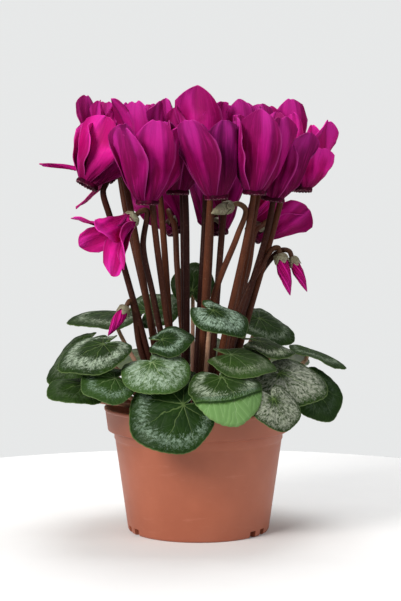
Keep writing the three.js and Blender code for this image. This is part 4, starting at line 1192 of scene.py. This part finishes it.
def foot_under(target):
    """Where on the tuber a stem starts: a third of the way to its flower, well inside the edge."""
    reach = np.array([target[0] - TUBER_X, target[1]])
    radius = min(np.linalg.norm(reach) * STEM_FOOT_SHARE, TUBER_RADIUS * STEM_FOOT_LIMIT)
    return np.array([TUBER_X, 0]) + unit(reach) * radius


def stem_sheet(foot, via, hook):
    """A stem: a smooth path from the tuber through the given points, thinning as a power of t."""
    foot = np.asarray(foot, dtype=float)
    sunk = tuber_top(math.hypot(foot[0] - TUBER_X, foot[1])) - STEM_SUNK
    rise = (*(foot * STEM_SPLAY), TUBER_TOP + STEM_RISE)
    path = smooth_path([(*foot, sunk), rise, *via, *hook], STEM_STEPS)
    t = np.linspace(0, 1, len(path))
    radii = STEM_FOOT_RADIUS + (STEM_TOP_RADIUS - STEM_FOOT_RADIUS) * t ** STEM_TAPER
    radii = radii * (1 + STEM_UNEVENNESS * np.sin(t * 23 + foot[0]))
    return tube(path, radii, STEM_SIDES, along=t, tint=float(chance(foot[0] * 3 + foot[1])))


def flower_stem(own):
    """The stem passes beside the mouth, rises among the petals and hooks over to the calyx."""
    beside = MOUTH_RADIUS + STEM_BESIDE
    outs_and_ups = ((beside, 0), (beside, 2), (beside - 0.8, HOOK_HEIGHT - 4.5),
                    (beside * 0.55, HOOK_HEIGHT + 1.6), (beside * 0.12, HOOK_HEIGHT + 0.4),
                    (0, TUBE_HEIGHT + 1.8))
    approach, *hook = [own.start + own.axes[0] * out + own.axes[2] * up for out, up in outs_and_ups]
    foot = foot_under(own.start)
    approach[:2] += (foot - own.start[:2]) * STEM_LEAN
    approach[2] = own.start[2] - STEM_LEAN_DROP
    return stem_sheet(foot, [approach], hook)


def nodding_stem():
    """The stem of the nodding flower, which comes to the calyx from behind."""
    own = nodding_frame()
    third = own.axes[2]
    hook = [own.start - third * 9 + np.array([2, 1, -1]), own.start - third * 7, own.start - third * 1.5]
    return stem_sheet((-16, -12), [(-28, -24, 150), (-34, -30, 182)], hook)


def bud_stem(bud):
    """A bud's stem, through its own points to the calyx."""
    own = bud_frame(bud)
    return stem_sheet(bud.foot, bud.via, [own.start - own.axes[2] * 6, own.start - own.axes[2] * 1.5])


def calyx_sheet(point, direction, radius, depth):
    """A cup of five sepals: a dome that opens as a square root, then runs on into five pointed
    lobes, whose length goes as the cosine of the angle; the inside follows it half a millimetre in."""
    angle = full_turn(MOUTH_SIDES)[None, :]
    lobe = np.abs(np.cos(CORNERS / 2 * angle)) ** 1.3
    s = np.concatenate([np.linspace(0.08, 1, SEPAL_ROWS), np.linspace(1, 0.08, SEPAL_ROWS)])[:, None]
    inside = np.repeat([0, SEPAL_THICKNESS], SEPAL_ROWS)[:, None]
    opening = np.sqrt(1 - (1 - np.minimum(s * 1.9, 1)) ** 2)
    reach = depth * (0.3 + 0.7 * lobe)
    height = -CALYX_DOME + s * (CALYX_DOME + reach) + inside * (s < 0.6)
    width = (radius * opening - inside) * (1 + 0.04 * ease(0.6, 1, s) * lobe)
    rings = round_axis(np.maximum(width, 0.3), angle, height)
    own = Frame(point, depth, axes_along(direction, (0.3, -1, 0.2)))
    poles = ((0, 0, -CALYX_DOME - 0.15), (0, 0, -CALYX_DOME + 0.7))
    return ringed(*placed((rings, *poles), own), along=s)


def make_calyxes(frames):
    """All the calyxes: over the tubes of the open flowers, and at the heads of the buds."""
    cups = []
    for own in frames:
        third = own.axes[2]
        cups.append((own.start + third * (TUBE_HEIGHT + 0.6), -third, CALYX_RADIUS + 1.2, 3.6))
    nodding = nodding_frame()
    cups.append((nodding.start, nodding.axes[2], CALYX_RADIUS + 0.9, 4.2))
    for bud in BUDS:
        own = bud_frame(bud)
        cups.append((own.start, own.axes[2], bud.radius + 0.5, 4.4))
    make_piece("calyxes", [calyx_sheet(*cup) for cup in cups], [SEPAL], "stem", "crown")


def make_stems(frames):
    """All the flower stems."""
    sheets = [flower_stem(own) for own in frames]
    sheets.append(nodding_stem())
    sheets += [bud_stem(bud) for bud in BUDS]
    make_piece("flower_stems", sheets, [STEM], "stem", "crown")


def leaf_frame(leaf):
    """The blade's axes: the first towards its tip, the third the way its upper face looks."""
    stalk = np.array(leaf.stalk, dtype=float)
    first = unit(np.array(leaf.tip) - stalk)
    up = np.array(leaf.up, dtype=float)
    third = unit(up - first * (up @ first))
    return stalk, (first, np.cross(third, first), third)


def stalk_sheet(leaf):
    """A leaf stalk, from the tuber's shoulder up to the underside of the blade."""
    stalk, (_, _, third) = leaf_frame(leaf)
    reach = stalk[:2] - np.array([TUBER_X, 0])
    length = np.linalg.norm(reach)
    foot = min(TUBER_RADIUS * 0.8, length * 0.6)
    start = np.array([TUBER_X, 0, tuber_top(foot) - STALK_SUNK])
    start[:2] += reach / length * foot
    rise = start + (stalk - third * 9 - start) * 0.35 + UP * leaf.lift
    top = stalk - third * (LEAF_THICKNESS / 2 + 0.05)
    path = smooth_path([start, rise, stalk - third * 8, top], STALK_STEPS)
    t = np.linspace(0, 1, len(path))
    radii = STALK_RADIUS * (1.2 - 0.2 * t + 0.35 * ease(0.93, 1, t))
    return tube(path, radii, STALK_SIDES, along=t)


def make_stalks():
    """All the leaf stalks."""
    make_piece("leaf_stalks", [stalk_sheet(leaf) for leaf in LEAVES], [STALK], "stem", "crown")


# The leaf blades

def leaf_outline(angle, cleft):
    """The heart's radius for an angle from the tip, as a part of the blade's length: a cosine, a
    small point at the tip and a deep cleft opposite it, as wide as the given angle."""
    from_cleft = math.pi - np.abs(angle)
    heart = 0.52 + 0.16 * np.cos(angle) + 0.04 * np.exp(-((angle / 0.25) ** 2))
    return heart * (1 - 0.86 * np.exp(-((from_cleft / cleft) ** 2)))


def leaf_points(leaf, angle, ring):
    """The blade's middle surface: the flat heart is rolled along its length and across it, waved
    and finely toothed at the edge, and grooved along nine veins. Past a curved line across it, a
    folded blade drops and is drawn in."""
    size = leaf.size
    teeth = 0.010 * np.abs(np.sin(22 * angle + size)) - 0.008
    scallop = 1 + teeth * ring ** 8 + 0.010 * np.sin(7 * angle + size * 2) * ring ** 3
    radius = leaf_outline(angle, leaf.cleft) * size * ring * scallop
    along = radius * np.cos(angle)
    across = radius * np.sin(angle)
    roll_across = math.radians(LEAF_ROLL_ACROSS) / size
    roll_along = math.radians(LEAF_ROLL_ALONG) / size
    ripple = LEAF_WAVE * ring * ring * np.sin(angle * 4 + size)
    ripple = ripple + 0.16 * ring ** 4 * np.sin(angle * 17 + size * 3)
    from_vein = np.abs((angle * VEIN_RAYS / TURN + 0.5) % 1 - 0.5) * TURN / VEIN_RAYS * radius
    ripple = ripple - 0.32 * np.exp(-(from_vein / 0.9) ** 2) * ease(0, 0.15, ring) * (1 - 0.7 * ring)
    bent_across = np.sin(roll_across * across) / roll_across
    drop = (np.cos(roll_across * across) - 1) / roll_across + ripple
    turn = roll_along * along
    bent_along = np.sin(turn) * (1 / roll_along + drop)
    height = np.cos(turn) * (1 / roll_along + drop) - 1 / roll_along
    past_fold = (along - size * leaf.fold + FOLD_CURVE * across ** 2 / size).clip(0)
    height = height - past_fold * FOLD_DROP
    bent_along = bent_along - past_fold * FOLD_PULL
    stalk, (first, second, third) = leaf_frame(leaf)
    points = (stalk + bent_along[..., None] * first + bent_across[..., None] * second
              + height[..., None] * third)
    hanging = ease(0, FOLD_SOFTNESS * size, past_fold)
    marks = {
        "leaf_x": along / size, "leaf_y": across / size, "ring": ring,
        "silver": leaf.silver * (1 - 0.85 * hanging),
        # Past the fold, fresh is raised: the finish paints the flap lighter and its crease darker.
        "fresh": np.maximum(leaf.fresh, 0.9 * hanging),
    }
    return points, marks


def make_leaf(index):
    """One blade: an upper and a lower face half a thickness off the middle, which thin to the edge."""
    leaf = LEAVES[index]
    angle = np.linspace(-math.pi, math.pi, LEAF_SECTORS, endpoint=False)[None, :]
    ring = np.linspace(0, 1, LEAF_RINGS + 1)[1:, None]
    points, marks = leaf_points(leaf, angle, ring + 0 * angle)
    outwards = np.gradient(points, axis=0)
    around = np.roll(points, -1, axis=1) - np.roll(points, 1, axis=1)
    half = (LEAF_THICKNESS / 2 * (1 - (1 - LEAF_EDGE) * ease(0.8, 1, ring)))[..., None]
    lift = unit(np.cross(outwards, around)) * half
    rings = np.flip(np.concatenate([points + lift, (points - lift)[::-1]]), axis=1)
    marks = {name: np.flip(np.concatenate([value, value[::-1]]), axis=1) for name, value in marks.items()}
    stalk, (_, _, third) = leaf_frame(leaf)
    body = ringed(rings, stalk + third * LEAF_THICKNESS / 2, stalk - third * LEAF_THICKNESS / 2, **marks)
    piece = make_piece(f"leaf_blade_{index + 1:02d}", [body], [LEAF_UPPER, LEAF_UNDER], "leaf",
                       f"leaf_{index + 1:02d}")
    # The rings past the border and the last fan are the underside.
    kinds = np.zeros(len(piece.data.polygons), dtype=np.int32)
    kinds[LEAF_RINGS * LEAF_SECTORS:-2 * LEAF_SECTORS] = 1
    kinds[-LEAF_SECTORS:] = 1
    piece.data.polygons.foreach_set("material_index", kinds)
    # Both middle points are the origin of the blade's pattern.
    for mark in ("leaf_x", "leaf_y"):
        poles = piece.data.attributes[mark].data
        poles[-1].value = 0
        poles[-2].value = 0


# The setting: camera, light and floor

CAMERA_PLACE = (0.0013, -1.0, 0.210)
CAMERA_PITCH = 86.35
FOCAL_LENGTH = 94.46
SENSOR_HEIGHT = 36.0
LAMP_AIM = (0, 0, 0.15)
FLOOR_RADIUS = 0.32
FLOOR_SIDES = 128


def set_camera():
    """The camera at the photograph's height, distance and angle."""
    data = bpy.data.cameras.new("view")
    data.sensor_fit = "VERTICAL"
    data.sensor_height = SENSOR_HEIGHT
    data.lens = FOCAL_LENGTH
    turn = (math.radians(CAMERA_PITCH), 0, 0)
    bpy.context.scene.camera = add_object("view", data, CAMERA_PLACE, turn)


def add_lamp(name, place, size, power, colour=(1.0, 1.0, 1.0)):
    """A square soft lamp that faces the middle of the plant."""
    data = bpy.data.lights.new(name, "AREA")
    data.size = size
    data.energy = power
    data.color = colour
    aim = np.array(LAMP_AIM) - np.array(place)
    turn = (math.atan2(math.hypot(aim[0], aim[1]), -aim[2]), 0, math.atan2(-aim[0], aim[1]))
    add_object(name, data, place, turn)


def set_light():
    """A large soft lamp from the upper left, a weaker one from the right, one above and behind."""
    add_lamp("key", (-0.9, -1.0, 0.9), 0.6, 23.0, (1.0, 0.98, 0.96))
    add_lamp("fill", (1.2, -0.8, 0.6), 1.0, 6.0, (0.97, 0.98, 1.0))
    add_lamp("top", (0.1, 0.4, 1.3), 0.9, 13.0)
    world = bpy.data.worlds.new("studio")
    world.use_nodes = True
    world.node_tree.nodes.clear()
    tree = Tree(world.node_tree)
    seen = tree.value("ShaderNodeBackground", {"Color": (0.80, 0.81, 0.81), "Strength": 1.0})
    felt = tree.value("ShaderNodeBackground", {"Color": (0.98, 0.99, 1.0), "Strength": 0.29})
    straight = tree.value("ShaderNodeLightPath", port="Is Camera Ray")
    sky = tree.value("ShaderNodeMixShader", {0: straight, 1: felt, 2: seen})
    tree.add("ShaderNodeOutputWorld", {"Surface": sky})
    bpy.context.scene.world = world
    bpy.context.scene.view_settings.view_transform = "Standard"


def set_floor():
    """A plain pale round table top."""
    points = round_axis(FLOOR_RADIUS, full_turn(FLOOR_SIDES), 0.0)
    mesh = bpy.data.meshes.new("floor")
    mesh.from_pydata(points.tolist(), [], [list(range(FLOOR_SIDES))])
    tree, shader = new_finish("floor_white", Roughness=0.7)
    patches, _ = tree.mottle(tree.place(), 9.0, 0.3, 0.7)
    tree.join(tree.blend(patches, (0.84, 0.84, 0.835), (0.87, 0.87, 0.865)), shader["Base Color"])
    mesh.materials.append(tree.material)
    floor = add_object("floor", mesh)


set_camera()
set_light()
set_floor()
make_pot()
make_soil()
make_tuber()
flower_frames = [flower_frame(flower) for flower in FLOWERS]
make_stems(flower_frames)
make_calyxes(flower_frames)
make_stalks()
for number in range(len(FLOWERS)):
    make_flower(number, flower_frames)
make_nodding_flower()
for number in range(len(BUDS)):
    make_bud(number)
for number in range(len(LEAVES)):
    make_leaf(number)
